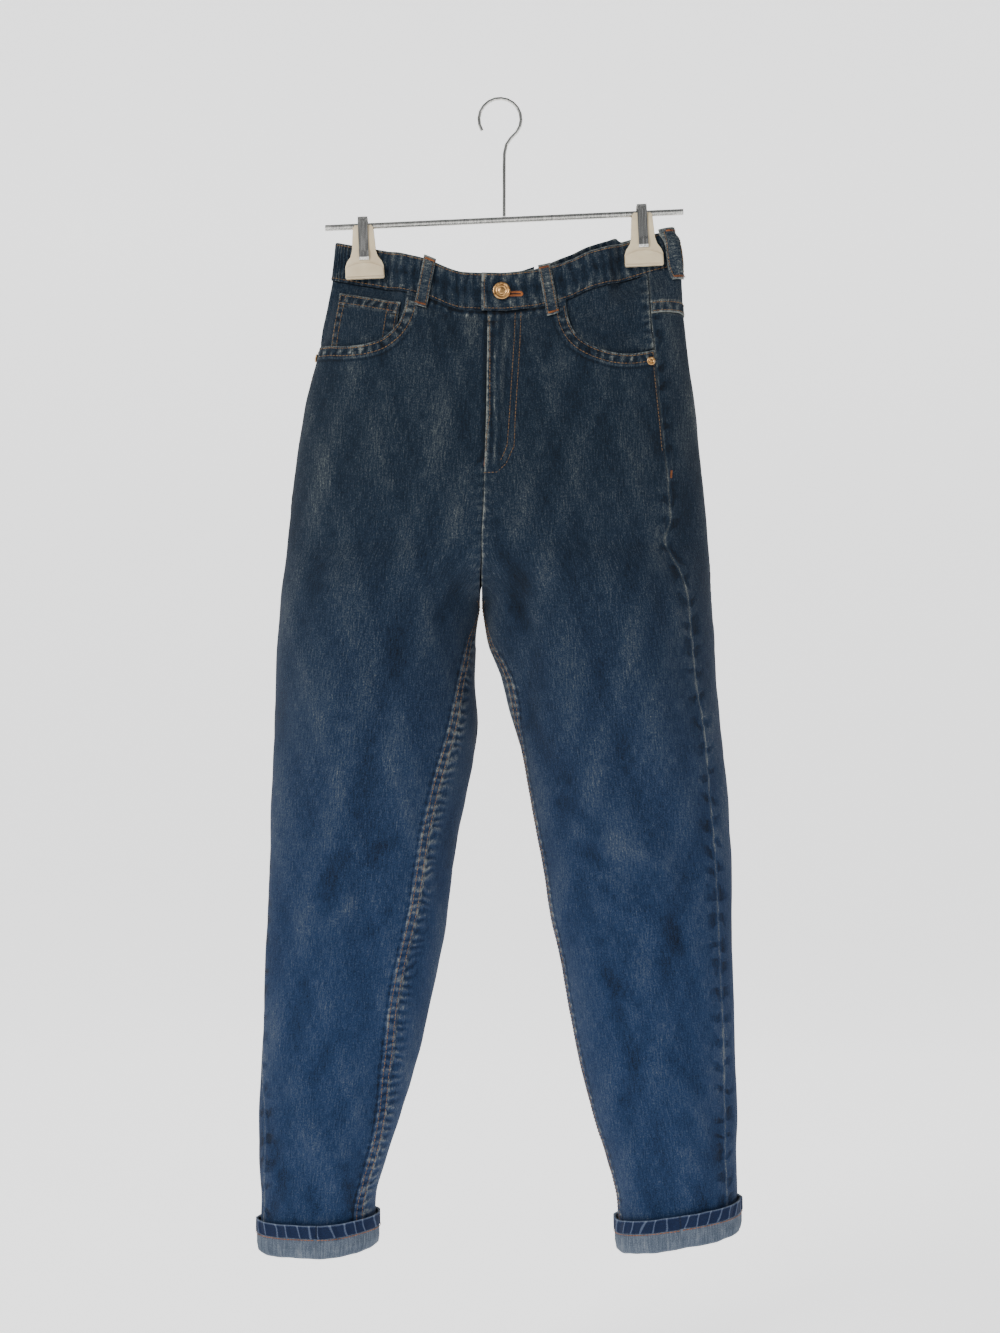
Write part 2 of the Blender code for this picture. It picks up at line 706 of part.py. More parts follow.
def back_pocket(side):
    """A five cornered patch with a thicker hem at its top."""
    across = np.linspace(-1.0, 1.0, 9)
    down = np.array([0.0, 0.09, 0.1, 0.26, 0.42, 0.56, 0.68, 0.79, 0.9, 1.0])
    lift = np.where(down < 0.095, 1.9, 1.2)
    middle = at(MIDDLE, "back_x", -360.0) + side * 94.0
    heights = []
    angles = []
    for v in down:
        z = -292.0 - v * (152.0 - 26.0 * np.abs(across)) + 4.0 * across * side
        half = 69.0 - 9.0 * v
        x = middle + across * half * side - 6.0 * v * side
        heights.append(z)
        angles.append(angle_at(side, z, x, "back"))
    heights = np.array(heights)
    angles = np.array(angles)
    outer = surface(side, heights, angles, POCKET_LIFT + lift[:, None])
    inner = surface(side, heights, angles, POCKET_LIFT)
    shell("back_pocket_" + word(side), outer, inner, denim())


def belt_loop(place):
    loops = []
    for row in LOOP:
        share = (LOOP[0].z - row.z) / (LOOP[0].z - LOOP[-1].z)
        x = place.top_x + (place.bottom_x - place.top_x) * share
        turn = angle_at(place.side, row.z, x, place.face)
        spread = degrees_for(place.side, row.z, LOOP_WIDTH / 2, turn)
        turns = np.array([turn - spread, turn, turn + spread])
        high = row.z + (3.0 if place.face == "back" and row.z > -170.0 else 0.0)
        under = surface(place.side, high, turns, row.out)
        over = surface(place.side, high, turns[::-1], row.out + LOOP_CLOTH)
        over[1] += (over[1] - under[1]) * 0.12
        loops.append(np.concatenate([under, over]))
    skin(place.name, loops, denim())


def cuff(side):
    turns = np.linspace(0.0, 360.0, 29)[:-1]
    loops = []
    for turn in turns:
        lift = np.array([row.out for row in CUFF])
        z = np.array([row.z for row in CUFF])
        loops.append(surface(side, z, turn, lift))
    skin("cuff_" + word(side), loops, denim_inside(), round_path=True)


def facing(side, z, turn):
    """The direction that the cloth faces at a point, its slope counted in."""
    down = surface(side, z - 2.0, turn) - surface(side, z + 2.0, turn)
    along = surface(side, z, turn + 2.0) - surface(side, z, turn - 2.0)
    return side * np.cross(down, along)


def button():
    z = -184.0
    turn = angle_at(LEFT, z, 1.5)
    base = surface(LEFT, z, turn, BAND_LIFT + BAND_CLOTH + GAP)
    turned("button", BUTTON, base, facing(LEFT, z, turn), brass(), 28)


def rivet(opening):
    side = opening.side
    z = WAIST_SEAM - opening.depth - 7.5
    turn = at(SEAMS, word(side) + "_side", z)
    turn = turn - degrees_for(side, z, 5.5, turn - 6.0)
    turned("rivet_" + opening.name, RIVET, surface(side, z, turn), facing(side, z, turn), brass(), 14)


def tilted(point, clip):
    """A point given about the bar in a clip, turned with the hanger and put in its place."""
    x, y, z = point
    cos = math.cos(HANGER_TILT)
    sin = math.sin(HANGER_TILT)
    return np.array([clip.x + x * cos - z * sin, y, clip.z + x * sin + z * cos])


def clip_jaw(clip, face):
    sign = -1.0 if face == "front" else 1.0
    loops = []
    for row in JAW:
        near = JAW_INNER
        far = JAW_INNER + row.thick
        w = row.half_width
        corners = [(-w, near), (w, near), (w, far - 0.9), (w - 1.6, far), (-w + 1.6, far), (-w, far - 0.9)]
        loops.append([tilted((x, sign * y, -row.down), clip) for x, y in corners])
    skin("clip_" + face + "_jaw_" + clip.name, loops, plastic())


def clip_spring(clip):
    path = [(-row.out, row.up) for row in STRIP] + [(row.out, row.up) for row in reversed(STRIP)]
    path = np.array(path)
    ahead = np.roll(path, -1, axis=0) - np.roll(path, 1, axis=0)
    ahead[0] = path[1] - path[0]
    ahead[-1] = path[-1] - path[-2]
    ahead = ahead / np.linalg.norm(ahead, axis=1)[:, None]
    loops = []
    for (y, z), (run_y, run_z) in zip(path, ahead):
        aside = np.array([-run_z, run_y]) * 0.4
        corners = []
        for x, s in ((-4.6, -1.0), (4.6, -1.0), (4.6, 1.0), (-4.6, 1.0)):
            corners.append(tilted((x, y + s * aside[0], z + s * aside[1]), clip))
        loops.append(corners)
    skin("clip_spring_" + clip.name, loops, steel())


def wire(name, path, radius, sides):
    """A round wire along a path that lies in one upright plane."""
    path = np.asarray(path, float)
    ahead = np.gradient(path, axis=0)
    ahead = ahead / np.linalg.norm(ahead, axis=1)[:, None]
    loops = []
    for point, run in zip(path, ahead):
        aside = np.array([-run[2], 0.0, run[0]])
        loop = []
        for k in range(sides):
            turn = 2.0 * math.pi * k / sides
            arm = aside * math.cos(turn) + np.array([0.0, 1.0, 0.0]) * math.sin(turn)
            loop.append(point + arm * radius)
        loops.append(loop)
    skin(name, loops, steel())


def bar_point(x):
    left, right = CLIPS
    slope = (right.z - left.z) / (right.x - left.x)
    return np.array([x, 0.0, left.z + slope * (x - left.x)])


def hanger():
    wire("hanger_bar", [bar_point(x) for x in (-166.0, -80.0, 4.0, 90.0, 174.0)], BAR_RADIUS, 12)
    radius = 20.0
    middle = WIRE - radius
    path = []
    for turn in np.linspace(math.radians(212.0), math.radians(-38.0), 15):
        path.append((radius * math.cos(turn), 0.0, middle + radius * math.sin(turn)))
    foot = bar_point(4.0)[2] + BAR_RADIUS + GAP
    path += [(10.5, 0.0, -36.0), (6.0, 0.0, -42.5), (4.2, 0.0, -51.0), (4.0, 0.0, -62.0), (4.0, 0.0, foot)]
    wire("hanger_hook", path, WIRE, 10)


def main():
    for thing in list(bpy.data.objects):
        bpy.data.objects.remove(thing)
    for side in (RIGHT, LEFT):
        front_panel(side)
        back_panel(side)
        yoke(side)
        back_pocket(side)
        cuff(side)
    waistband()
    for opening in OPENINGS:
        pocket_facing(opening)
        rivet(opening)
    coin_pocket()
    for place in LOOPS:
        belt_loop(place)
    button()
    for clip in CLIPS:
        clip_jaw(clip, "front")
        clip_jaw(clip, "back")
        clip_spring(clip)
    hanger()


main()
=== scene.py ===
"""The looks of a pair of mom jeans that hang from a clip hanger.

The cloth is laid on the sections of the body and the legs, as in the part's own solids, with finer
creases. Tables and cloth grids are in millimetres, and meshes in metres. X runs to the wearer's
left, the front faces -Y and Z is up. A point on a section has an angle: 0 is the front, 90 the
outer side, 180 the back, and -90 or 270 the side of a leg that faces the other leg.
"""

import math
from collections import namedtuple

import bpy
import numpy as np
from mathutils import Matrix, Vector


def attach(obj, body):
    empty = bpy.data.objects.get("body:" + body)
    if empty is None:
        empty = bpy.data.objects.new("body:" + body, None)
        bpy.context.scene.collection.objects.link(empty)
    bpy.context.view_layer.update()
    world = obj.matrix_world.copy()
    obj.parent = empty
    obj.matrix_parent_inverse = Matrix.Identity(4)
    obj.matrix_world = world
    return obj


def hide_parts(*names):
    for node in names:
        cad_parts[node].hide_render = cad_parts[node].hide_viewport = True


bl_info = {
    "name": "Mom jeans on a clip hanger",
    "version": (1, 0, 0),
    "blender": (4, 5, 0),
    "location": "View3D > Sidebar > Jeans",
    "description": "Denim, stitching, button, rivets and hanger of a hanging pair of jeans",
    "category": "Add Mesh",
}

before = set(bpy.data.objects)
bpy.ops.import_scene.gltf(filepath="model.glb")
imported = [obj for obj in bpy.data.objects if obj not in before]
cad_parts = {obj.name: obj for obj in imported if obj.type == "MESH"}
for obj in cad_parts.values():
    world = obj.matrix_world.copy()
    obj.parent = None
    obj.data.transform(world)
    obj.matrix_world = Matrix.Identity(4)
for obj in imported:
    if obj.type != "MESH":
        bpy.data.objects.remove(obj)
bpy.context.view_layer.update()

MM = 0.001
RIGHT = -1  # the wearer's right, at -X
LEFT = 1

CLOTH = 1.2  # one layer of denim
GAP = 0.3  # between pieces
BAND_CLOTH = 2.6  # the doubled waistband
BAND_LIFT = 0.9  # how far the waistband stands out from the panels
WAIST_TOP = -166.0
WAIST_SEAM = -203.0
CROTCH = -482.0
FLY_END = -356.0
FLY_LIFT = 1.5
HEM = -1087.4
SEAM_BAND = 9.0
SEAM_LIFT = 0.8
YOKE_SIDE = -243.0
YOKE_BACK = -266.0
POCKET_FLOOR = -332.0
WAIST_MIDDLE = -185.0
SEAM_EDGE = WAIST_SEAM + 1.2  # the panels run this far up under the waistband
LEVEL_ROWS = -292.0  # below this a panel's rows of points are level
LEG_ROWS = 300
TOP_COLUMNS = 32  # of a front panel's columns, those that end at the waistband
POCKET_ROWS = 60  # of a front panel's rows, those near enough to the pocket edge
BACK_COLUMNS = 92
PATCH_HALF = 69.0
PATCH_TALL = 150.0
TURN = 6.283
COIN_ROWS = (-214.0, -224.0, -225.5, -240.0, -252.0, -264.0, -276.0, -287.0)
COIN_PARTS = (0.16, 0.28, 0.41, 0.54, 0.66)
LOOP_WIDTH = 11.5
LOOP_CLOTH = 1.6
HANGER_TILT = math.radians(2.6)


def rows_of(kind, *rows):
    """A table: each row's numbers under the names of its kind."""
    return tuple(kind(*row) for row in rows)


def folds_on(face, *rows):
    """A table of the folds on one face of the jeans."""
    return tuple(Fold(face, *row) for row in rows)


Body = namedtuple("Body", "z right_outer left_outer front back square")
BODY = rows_of(
    Body,
    (-166, -155, 163, 11, 12, 3.0), (-185, -157, 169, 13, 14, 3.0),
    (-203, -159, 172, 16, 17, 2.8), (-228, -164, 173, 26, 27, 2.6),
    (-247, -168, 174, 34, 35, 2.5), (-270, -172, 177, 39, 42, 2.4),
    (-300, -181, 181, 46, 52, 2.3), (-340, -190, 187, 54, 64, 2.2),
    (-380, -197, 193, 61, 74, 2.1), (-430, -203, 198, 65, 80, 2.0),
    (-475, -208, 201, 65, 78, 2.0), (-513, -211, 204, 65, 76, 2.0),
    (-551, -213, 205, 65, 74, 2.0), (-589, -214, 209, 62, 70, 2.0),
    (-665, -217, 216, 51, 59, 2.0), (-741, -219, 220, 43, 51, 2.0),
    (-817, -223, 221, 41, 48, 2.0), (-893, -225, 223, 39, 47, 2.1),
    (-969, -229, 225, 38, 45, 2.1), (-1007, -229, 224, 37, 44, 2.2),
    (-1045, -226, 225, 36, 42, 2.2), (-1095, -226, 225, 36, 42, 2.2),
)

Legs = namedtuple("Legs", "z right_inner left_inner")
LEGS = rows_of(
    Legs,
    (-482, -19, -17), (-513, -23, -12), (-551, -24, 2), (-589, -21, 12), (-627, -25, 23),
    (-665, -33, 30), (-703, -41, 37), (-779, -51, 50), (-817, -58, 58), (-893, -74, 72),
    (-931, -85, 80), (-969, -96, 91), (-1007, -108, 103), (-1045, -118, 112), (-1095, -119, 114),
)

# The middle seams, and the angle at which a section ends on them.
Middle = namedtuple("Middle", "z front_x back_x front_turn back_turn")
MIDDLE = rows_of(
    Middle,
    (-166, -12, 20, 0, 0), (-203, -12, 18, 0, 0), (-300, -13, 8, 0, 0), (-330, -14, 4, 0, 0),
    (-380, -15, -4, 0, -10), (-420, -17, -11, 0, -25), (-437, -17, -13, -20, -38),
    (-455, -18, -16, -45, -56), (-470, -18, -18, -70, -74), (-482, -18, -18, -90, -90),
)

Seams = namedtuple("Seams", "z right_side left_side right_inseam left_inseam")
SEAMS = rows_of(
    Seams,
    (-203, 95, 56, -90, -90), (-400, 95, 56, -90, -90), (-425, 95, 52, -90, -90),
    (-440, 95, 50, -90, -90), (-482, 95, 50, -90, -90), (-513, 95, 50, -75, -80),
    (-551, 95, 51, -65, -73), (-589, 95, 53, -54, -78), (-650, 95, 53, -46, -88),
    (-750, 90, 55, -43, -88), (-850, 83, 56, -39, -88), (-915, 77, 55, -45, -88),
    (-960, 65, 54, -53, -88), (-1000, 63, 53, -57, -88), (-1060, 70, 52, -54, -88),
    (-1095, 70, 52, -54, -88),
)

# How far the cloth stands above a level waist, at each x.
Sag = namedtuple("Sag", "x rise")
SAG = rows_of(
    Sag,
    (-160, 31), (-118, 24), (-74, 15), (-33, 1), (0, 0), (30, 3), (65, 12), (85, 21), (114, 29),
    (157, 41), (170, 43),
)

# Pocket openings: where the curve leaves the waistband, and how far down it ends at the side seam.
Opening = namedtuple("Opening", "side name top_x depth square")
OPENINGS = (
    Opening(RIGHT, "right", -87.5, 65, 2.7),
    Opening(LEFT, "left", 62, 76, 2.2),
)

# Folds: a soft trough (depth above 0) or ridge (below 0) along a line on the front or the back.
Fold = namedtuple("Fold", "face x1 z1 x2 z2 width depth")
FOLDS = folds_on(
    "front",
    (-91, -352, -106, -500, 17, 2.2), (-106, -500, -112, -636, 17, 3.2),
    (-112, -636, -119, -690, 16, 4.0), (-119, -690, -131, -735, 15, 5.5),
    (-131, -735, -129, -778, 15, 5.5), (-129, -778, -118, -825, 17, 3.5),
    (-124, -846, -122, -890, 20, 2.0), (-150, -560, -156, -700, 26, -2.6),
    (-76, -620, -88, -760, 22, -2.4), (-172, -975, -138, -1030, 16, -3.2),
    (-186, -1010, -160, -1055, 14, 2.6), (17, -430, 21, -500, 11, 3.4),
    (21, -500, 25, -575, 12, 3.4), (67, -300, 68, -362, 20, 1.6), (88, -416, 93, -532, 24, 3.0),
    (93, -532, 108, -600, 22, 3.4), (108, -600, 131, -652, 20, 4.0),
    (131, -652, 158, -690, 18, 4.0), (158, -690, 176, -732, 18, 3.4),
    (176, -732, 170, -788, 18, 3.0), (108, -728, 127, -744, 14, 2.4),
    (108, -777, 136, -806, 15, 2.6), (171, -818, 163, -882, 18, 2.4),
    (121, -938, 146, -1005, 15, 3.2), (146, -1005, 154, -1044, 14, 3.4),
    (140, -500, 150, -610, 24, -2.4), (178, -930, 186, -1020, 18, -2.2),
) + folds_on(
    "back",
    (-112, -492, -52, -524, 17, 4.0), (98, -488, 40, -526, 17, 4.4),
    (-128, -545, -70, -590, 18, 3.0), (118, -552, 62, -584, 18, 2.6),
    (-150, -640, -112, -735, 19, 3.8), (-112, -735, -150, -815, 18, 4.4),
    (150, -628, 118, -720, 20, 3.4), (118, -720, 156, -800, 18, 4.6),
    (-176, -850, -140, -935, 18, 3.0), (188, -872, 152, -948, 18, 3.2),
    (-196, -985, -158, -1040, 15, 3.6), (140, -985, 178, -1036, 15, 3.4),
    (-96, -640, -92, -760, 22, -2.4), (92, -640, 98, -752, 22, -2.2),
)

# Each clip: the x and z of the spot where the bar runs through it.
Clip = namedtuple("Clip", "name x z")
CLIPS = (
    Clip("right", -130.0, -120.0),
    Clip("left", 134.5, -108.0),
)
PINCH_HALF = 1.9
PINCH_FLAT = 20.5
PINCH_END = 35.0
PINCH_SHIFT = 2.0

Jaw = namedtuple("Jaw", "down half_width thick")
JAW_INNER = 3.3

# A belt loop from top to bottom: nominal height and how far its under side stands out.
Loop = namedtuple("Loop", "z out")
LOOP = rows_of(
    Loop,
    (-163, 1.3), (-167, 1.4), (-173, 2.7), (-186, 3.2), (-198, 2.8), (-206, 1.7), (-214, 1.0),
)
Place = namedtuple("Place", "name side face top_x bottom_x")
LOOPS = (
    Place("belt_loop_front_right", RIGHT, "front", -66.0, -75.0),
    Place("belt_loop_front_left", LEFT, "front", 41.5, 50.0),
    Place("belt_loop_side_left", LEFT, "front", 162.0, 169.5),
    Place("belt_loop_back_right", RIGHT, "back", -79.0, -81.0),
    Place("belt_loop_back_middle", LEFT, "back", 27.0, 24.0),
)

# The cuff's outline from its rim down the outside, under the fold and up the inside.
Turn = namedtuple("Turn", "out z")
CUFF = rows_of(
    Turn,
    (4.7, -1060.0), (4.9, -1071.5), (3.9, -1072.6), (4.1, -1083.0), (3.0, -1089.5),
    (0.6, -1091.8), (-1.2, -1090.8), (-1.2, -1088.3), (1.0, -1088.5), (2.1, -1085.5),
    (2.4, -1060.6),
)

# Finer creases than the solids have: at the waistband, the loops, the crotch, the knees and hems.
CREASES = folds_on(
    "front",
    (50, -184, 76, -177, 5, 1.3), (76, -177, 96, -168, 5, 1.8), (96, -168, 116, -156, 5, 1.2),
    (28, -192, 52, -189, 5, 0.8), (58, -214, 64, -238, 6, 0.9), (48, -212, 44, -244, 7, 0.8),
    (70, -232, 92, -244, 7, 1.1), (96, -208, 122, -226, 9, 1.6), (118, -206, 134, -232, 7, -0.9),
    (-76, -208, -72, -238, 6, 0.8), (-50, -204, -40, -236, 8, 0.8),
    (-118, -196, -124, -222, 8, 1.1), (-36, -430, -60, -462, 8, 0.9),
    (-30, -452, -58, -492, 7, 1.0), (4, -436, 30, -470, 7, 1.1), (2, -462, 24, -502, 6, 1.0),
    (30, -590, 56, -640, 9, 1.1), (60, -664, 92, -690, 8, 1.0), (74, -706, 98, -722, 8, 1.3),
    (96, -744, 120, -764, 7, 1.1), (120, -706, 150, -722, 8, -0.9),
    (146, -764, 168, -802, 8, 1.0), (98, -826, 128, -850, 9, 1.2),
    (112, -862, 120, -906, 9, 0.9), (158, -900, 184, -932, 8, 0.9),
    (174, -960, 190, -996, 8, 1.0), (128, -1012, 140, -1046, 7, 1.2),
    (178, -1016, 196, -1048, 8, 1.2), (-100, -700, -126, -722, 7, 1.0),
    (-148, -716, -170, -748, 9, 1.1), (-140, -760, -164, -782, 8, -0.9),
    (-106, -768, -124, -790, 7, 0.9), (-150, -880, -174, -920, 9, 1.0),
    (-132, -930, -150, -962, 8, 0.9), (-196, -952, -210, -1000, 9, 1.1),
    (-146, -1006, -136, -1044, 7, 1.1), (-204, -1012, -214, -1050, 7, 1.2),
    (-178, -1030, -172, -1056, 7, 1.0), (-4, -222, -5, -330, 3, 1.3),
    (1, -232, -1, -345, 3, -0.9), (6, -250, 3, -338, 3, 1.2), (-8, -318, 4, -350, 3, 0.9),
    (-84, -178, -62, -200, 5, 0.9), (-92, -196, -70, -206, 5, -0.8),
    (-50, -182, -32, -196, 5, 0.8), (-96, -212, -90, -238, 5, 0.9),
    (-62, -216, -58, -246, 4, 0.8), (-48, -214, -34, -232, 4, 0.7), (20, -176, 34, -196, 4, 0.7),
    (146, -262, 152, -300, 6, 1.0), (132, -300, 148, -330, 7, 0.8), (60, -276, 74, -300, 8, 0.7),
) + folds_on(
    "back",
    (-60, -206, -54, -236, 8, 0.9), (60, -196, 66, -230, 8, 0.9),
    (-104, -186, -116, -216, 8, 1.2), (104, -176, 116, -212, 8, 1.3),
    (-70, -506, -38, -520, 8, 1.4), (62, -508, 28, -522, 8, 1.4),
    (-150, -506, -118, -536, 9, 1.2), (156, -512, 124, -538, 9, 1.2),
    (-172, -700, -146, -742, 9, 1.4), (-92, -760, -120, -782, 8, 1.4),
    (176, -690, 150, -736, 9, 1.4), (96, -748, 124, -772, 8, 1.5),
    (-168, -930, -146, -962, 8, 1.2), (172, -938, 150, -968, 8, 1.2),
    (-204, -1020, -184, -1052, 8, 1.2), (196, -1006, 180, -1040, 8, 1.2),
)

# Rows of stitches on the fly: x and real height.
FLY_OUTER = (
    (19.8, -203), (18.8, -232), (14.1, -307), (13.1, -333), (5.6, -350), (-2.8, -358),
    (-15.5, -358.5),
)
FLY_INNER = (
    (14.4, -204), (13.3, -232), (8.6, -307), (6.6, -333), (1, -346), (-5.6, -352),
    (-15.5, -352.5),
)
FLY_EDGE = ((-10.8, -206), (-9.5, -225), (-9.5, -305), (-12.5, -322), (-13.2, -340))
BUTTON_Z = -186.6  # the buttonhole's height
CUFF_OUT = 4.6  # how far a cuff's rim stands out

# Creases of the pocket linings' fronts, seen in the openings. A depth below 0 stands out.
FACING_FOLDS = folds_on(
    "front",
    (74, -226, 104, -250, 6, -1.1), (82, -222, 114, -232, 5, 1.0),
    (104, -250, 128, -266, 6, 1.2), (114, -232, 140, -236, 6, -0.9),
    (120, -214, 146, -222, 5, 0.7), (-96, -214, -130, -210, 5, 0.7),
    (-92, -222, -112, -240, 6, 0.6),
)

# A moulded jaw from its top down.
JAW_SHAPE = rows_of(
    Jaw,
    (-3.6, 8.0, 2.6), (-2.0, 9.6, 3.6), (8.0, 10.4, 4.2), (20.0, 11.2, 4.3), (26.0, 13.0, 4.5),
    (31.0, 16.6, 4.9), (35.5, 18.2, 5.4), (45.5, 18.4, 5.5), (47.0, 17.4, 5.0),
)

Wave = namedtuple("Wave", "x z start height")
WAVES = rows_of(
    Wave,
    (61, 233, 0.4, 0.34), (-47, 171, 2.1, 0.3), (33, -118, 4.4, 0.22), (-26, -83, 1.2, 0.16),
    (19, 64, 5.3, 0.1), (-14, 41, 3.0, 0.07),
)


def at(rows, name, z, key="z"):
    """The named column of a table at each height or x, on a smooth curve through its rows."""
    keys = np.array([getattr(row, key) for row in rows], float)
    values = np.array([getattr(row, name) for row in rows], float)
    order = np.argsort(keys)
    keys, values = keys[order], values[order]
    step = np.diff(keys)
    rate = np.diff(values) / step
    slope = np.concatenate([rate[:1], np.zeros(len(keys) - 2), rate[-1:]])
    same = rate[1:] * rate[:-1] > 0
    slope[1:-1][same] = 2 * rate[1:][same] * rate[:-1][same] / (rate[1:] + rate[:-1])[same]
    z = np.clip(z, keys[0], keys[-1])
    spot = np.clip(np.searchsorted(keys, z) - 1, 0, len(keys) - 2)
    t = (z - keys[spot]) / step[spot]
    start = values[spot] * (1 + 2 * t) * (1 - t) ** 2 + step[spot] * slope[spot] * t * (1 - t) ** 2
    end = values[spot + 1] * t * t * (3 - 2 * t) + step[spot] * slope[spot + 1] * t * t * (t - 1)
    return start + end


def smooth(value):
    value = np.clip(value, 0.0, 1.0)
    return value * value * (3.0 - 2.0 * value)


def word(side):
    return "right" if side == RIGHT else "left"


def oval_of(side, z, back):
    """The middle x and the half width of the front or back half of a section."""
    outer = at(BODY, word(side) + "_outer", z)
    apart = 0.15 + 0.85 * smooth((-420.0 - z) / 62.0)
    middle = np.where(back, at(MIDDLE, "back_x", z), at(MIDDLE, "front_x", z)) + side * apart
    inner = np.where(z > CROTCH, middle, at(LEGS, word(side) + "_inner", z))
    turn = np.where(back, at(MIDDLE, "back_turn", z), at(MIDDLE, "front_turn", z))
    half = np.abs(outer - inner) / (1.0 - np.sin(np.radians(turn)))
    return outer - side * half, half


def pinch(x, y, z):
    """The clips press the waist flat."""
    weight = np.zeros_like(x)
    for clip in CLIPS:
        away = np.abs(x - clip.x - PINCH_SHIFT)
        near = smooth((PINCH_END - away) / (PINCH_END - PINCH_FLAT))
        weight = np.maximum(weight, near)
    weight = weight * smooth((z + 227.0) / 31.0)
    return y + (PINCH_HALF * np.clip(y / 3.0, -1.0, 1.0) - y) * weight


def section(side, z, angle):
    angle = (angle + 90.0) % 360.0 - 90.0
    back = angle > 90.0
    turn = np.radians(np.where(back, 180.0 - angle, angle))
    middle, half = oval_of(side, z, back)
    power = at(BODY, "square", z)
    reach = np.clip(1.0 - np.abs(np.sin(turn)) ** power, 0.0, 1.0) ** (1.0 / power)
    depth = np.where(back, at(BODY, "back", z), -at(BODY, "front", z))
    x = middle + side * half * np.sin(turn)
    return x, pinch(x, depth * reach, z)


def shift(side, x, y, z):
    """How far a point stands above its level height: the sagging waist and the tilted hems."""
    rise = at(SAG, "rise", x, "x") * smooth((z + 440.0) / 180.0)
    peek = smooth((x - 5.0) / 60.0) * smooth((165.0 - x) / 50.0)
    rise = rise + 8.0 * peek * smooth(y / 6.0) * smooth((z + 300.0) / 90.0)
    low = smooth((-940.0 - z) / 130.0)
    if side == LEFT:
        return rise + 19.0 * low * (x - 116.0) / 112.0
    return rise + 6.0 * low * smooth((x + 160.0) / 45.0)


def fold_depth(x, y, z, folds=None):
    """How far in the folds press the cloth. Folds that meet run into each other softly."""
    trough = np.zeros_like(x)
    ridge = np.zeros_like(x)
    for fold in FOLDS + CREASES if folds is None else folds:
        facing = smooth(-y / 20.0) if fold.face == "front" else smooth(y / 20.0)
        run = np.array([fold.x2 - fold.x1, fold.z2 - fold.z1], float)
        along = ((x - fold.x1) * run[0] + (z - fold.z1) * run[1]) / (run @ run)
        along = np.clip(along, 0.0, 1.0)
        away = np.hypot(x - fold.x1 - along * run[0], z - fold.z1 - along * run[1])
        press = (facing * abs(fold.depth) * np.exp(-((away / fold.width) ** 2))) ** 5
        if fold.depth > 0:
            trough += press
        else:
            ridge += press
    depth = trough**0.2 - ridge**0.2
    for wave in WAVES:
        face = np.where(y < 0, 0.0, 2.0)
        phase = x / wave.x * 6.28 + z / wave.z * 6.28 + wave.start + face
        depth = depth + wave.height * np.sin(phase)
    middle = at(MIDDLE, "front_x", z)
    free = np.where(z > -520.0, smooth(np.abs(x - middle) / 14.0), 1.0)
    return depth * free


def surface(side, z, angle, lift=0.0):
    """Points on the outer face of the cloth, moved out by lift."""
    z, angle, lift = np.broadcast_arrays(
        np.asarray(z, float), np.asarray(angle, float), np.asarray(lift, float)
    )
    x, y = section(side, z, angle)
    x1, y1 = section(side, z, angle - 1.5)
    x2, y2 = section(side, z, angle + 1.5)
    run = np.hypot(x2 - x1, y2 - y1)
    normal_x = side * (y2 - y1) / run
    normal_y = -side * (x2 - x1) / run
    height = z + shift(side, x, y, z)
    out = lift - fold_depth(x, y, height)
    return np.stack([x + normal_x * out, y + normal_y * out, height], axis=-1)


def angle_at(side, z, x, face="front"):
    """The angle of the point of the front or back that has this x."""
    middle, half = oval_of(side, z, face == "back")
    turn = np.degrees(np.arcsin(np.clip(side * (x - middle) / half, -1.0, 1.0)))
    return 180.0 - turn if face == "back" else turn


def degrees_for(side, z, length, angle):
    """The angle that a length along the section spans near an angle."""
    x1, y1 = section(side, z, angle - 2.0)
    x2, y2 = section(side, z, angle + 2.0)
    return length * 4.0 / np.hypot(x2 - x1, y2 - y1)


def opening_drop(opening, share):
    """How far down the pocket edge is, from its top (share 0) to the side seam (1)."""
    return opening.depth * (1.0 - (1.0 - share) ** opening.square) ** (1.0 / opening.square)


def yoke_seam(share):
    """The height of the yoke seam, from the side seam (0) to the middle of the back (1)."""
    return YOKE_SIDE + (YOKE_BACK - YOKE_SIDE) * share


def back_angles(side, z, columns):
    first = at(SEAMS, word(side) + "_side", z)
    first = first + degrees_for(side, z, GAP / 2, first)
    if z > CROTCH:
        last = 180.0 - at(MIDDLE, "back_turn", z)
    else:
        last = 360.0 + at(SEAMS, word(side) + "_inseam", z)
        last = last - degrees_for(side, z, GAP / 2, last)
    return np.linspace(first, last, columns)


def band_lift(side, x, y):
    """The wearer's left end of the waistband lies on the right end."""
    if side == RIGHT:
        return np.zeros_like(x)
    return np.where(y < 0.0, (BAND_CLOTH + GAP) * smooth((30.0 - x) / 10.0), 0.0)


def pocket_depth(opening, low, z, part):
    """How far the pocket's inner layer lies below the face of the panel, at a part of its width."""
    room = smooth(part / 0.2) * smooth((1.0 - part) / 0.2)
    room = room * smooth((z - low) / 24.0) * smooth((WAIST_SEAM - z) / 20.0)
    deep = 2.1 + 2.5 * room + 0.6 * smooth((part - 0.8) / 0.2)
    open_end = WAIST_SEAM - opening.depth
    beside = smooth((z - open_end - 6.0) / 14.0) * smooth((part - 0.84) / 0.16)
    return deep + (0.4 - deep) * beside


def pocket_grid(opening, z, part):
    """Heights, angles and depths of the pocket's inner layer."""
    side = opening.side
    low = POCKET_FLOOR if side == RIGHT else POCKET_FLOOR - 10.0
    heights = np.repeat(z[:, None], len(part), axis=1)
    angles = []
    for row in z:
        first = angle_at(side, WAIST_SEAM, opening.top_x) - 9.0
        last = at(SEAMS, word(side) + "_side", row)
        last = last - degrees_for(side, row, GAP, last)
        angles.append(first + (last - first) * part)
    parts = np.repeat(part[None, :], len(z), axis=0)
    return heights, np.array(angles), pocket_depth(opening, low, heights, parts)


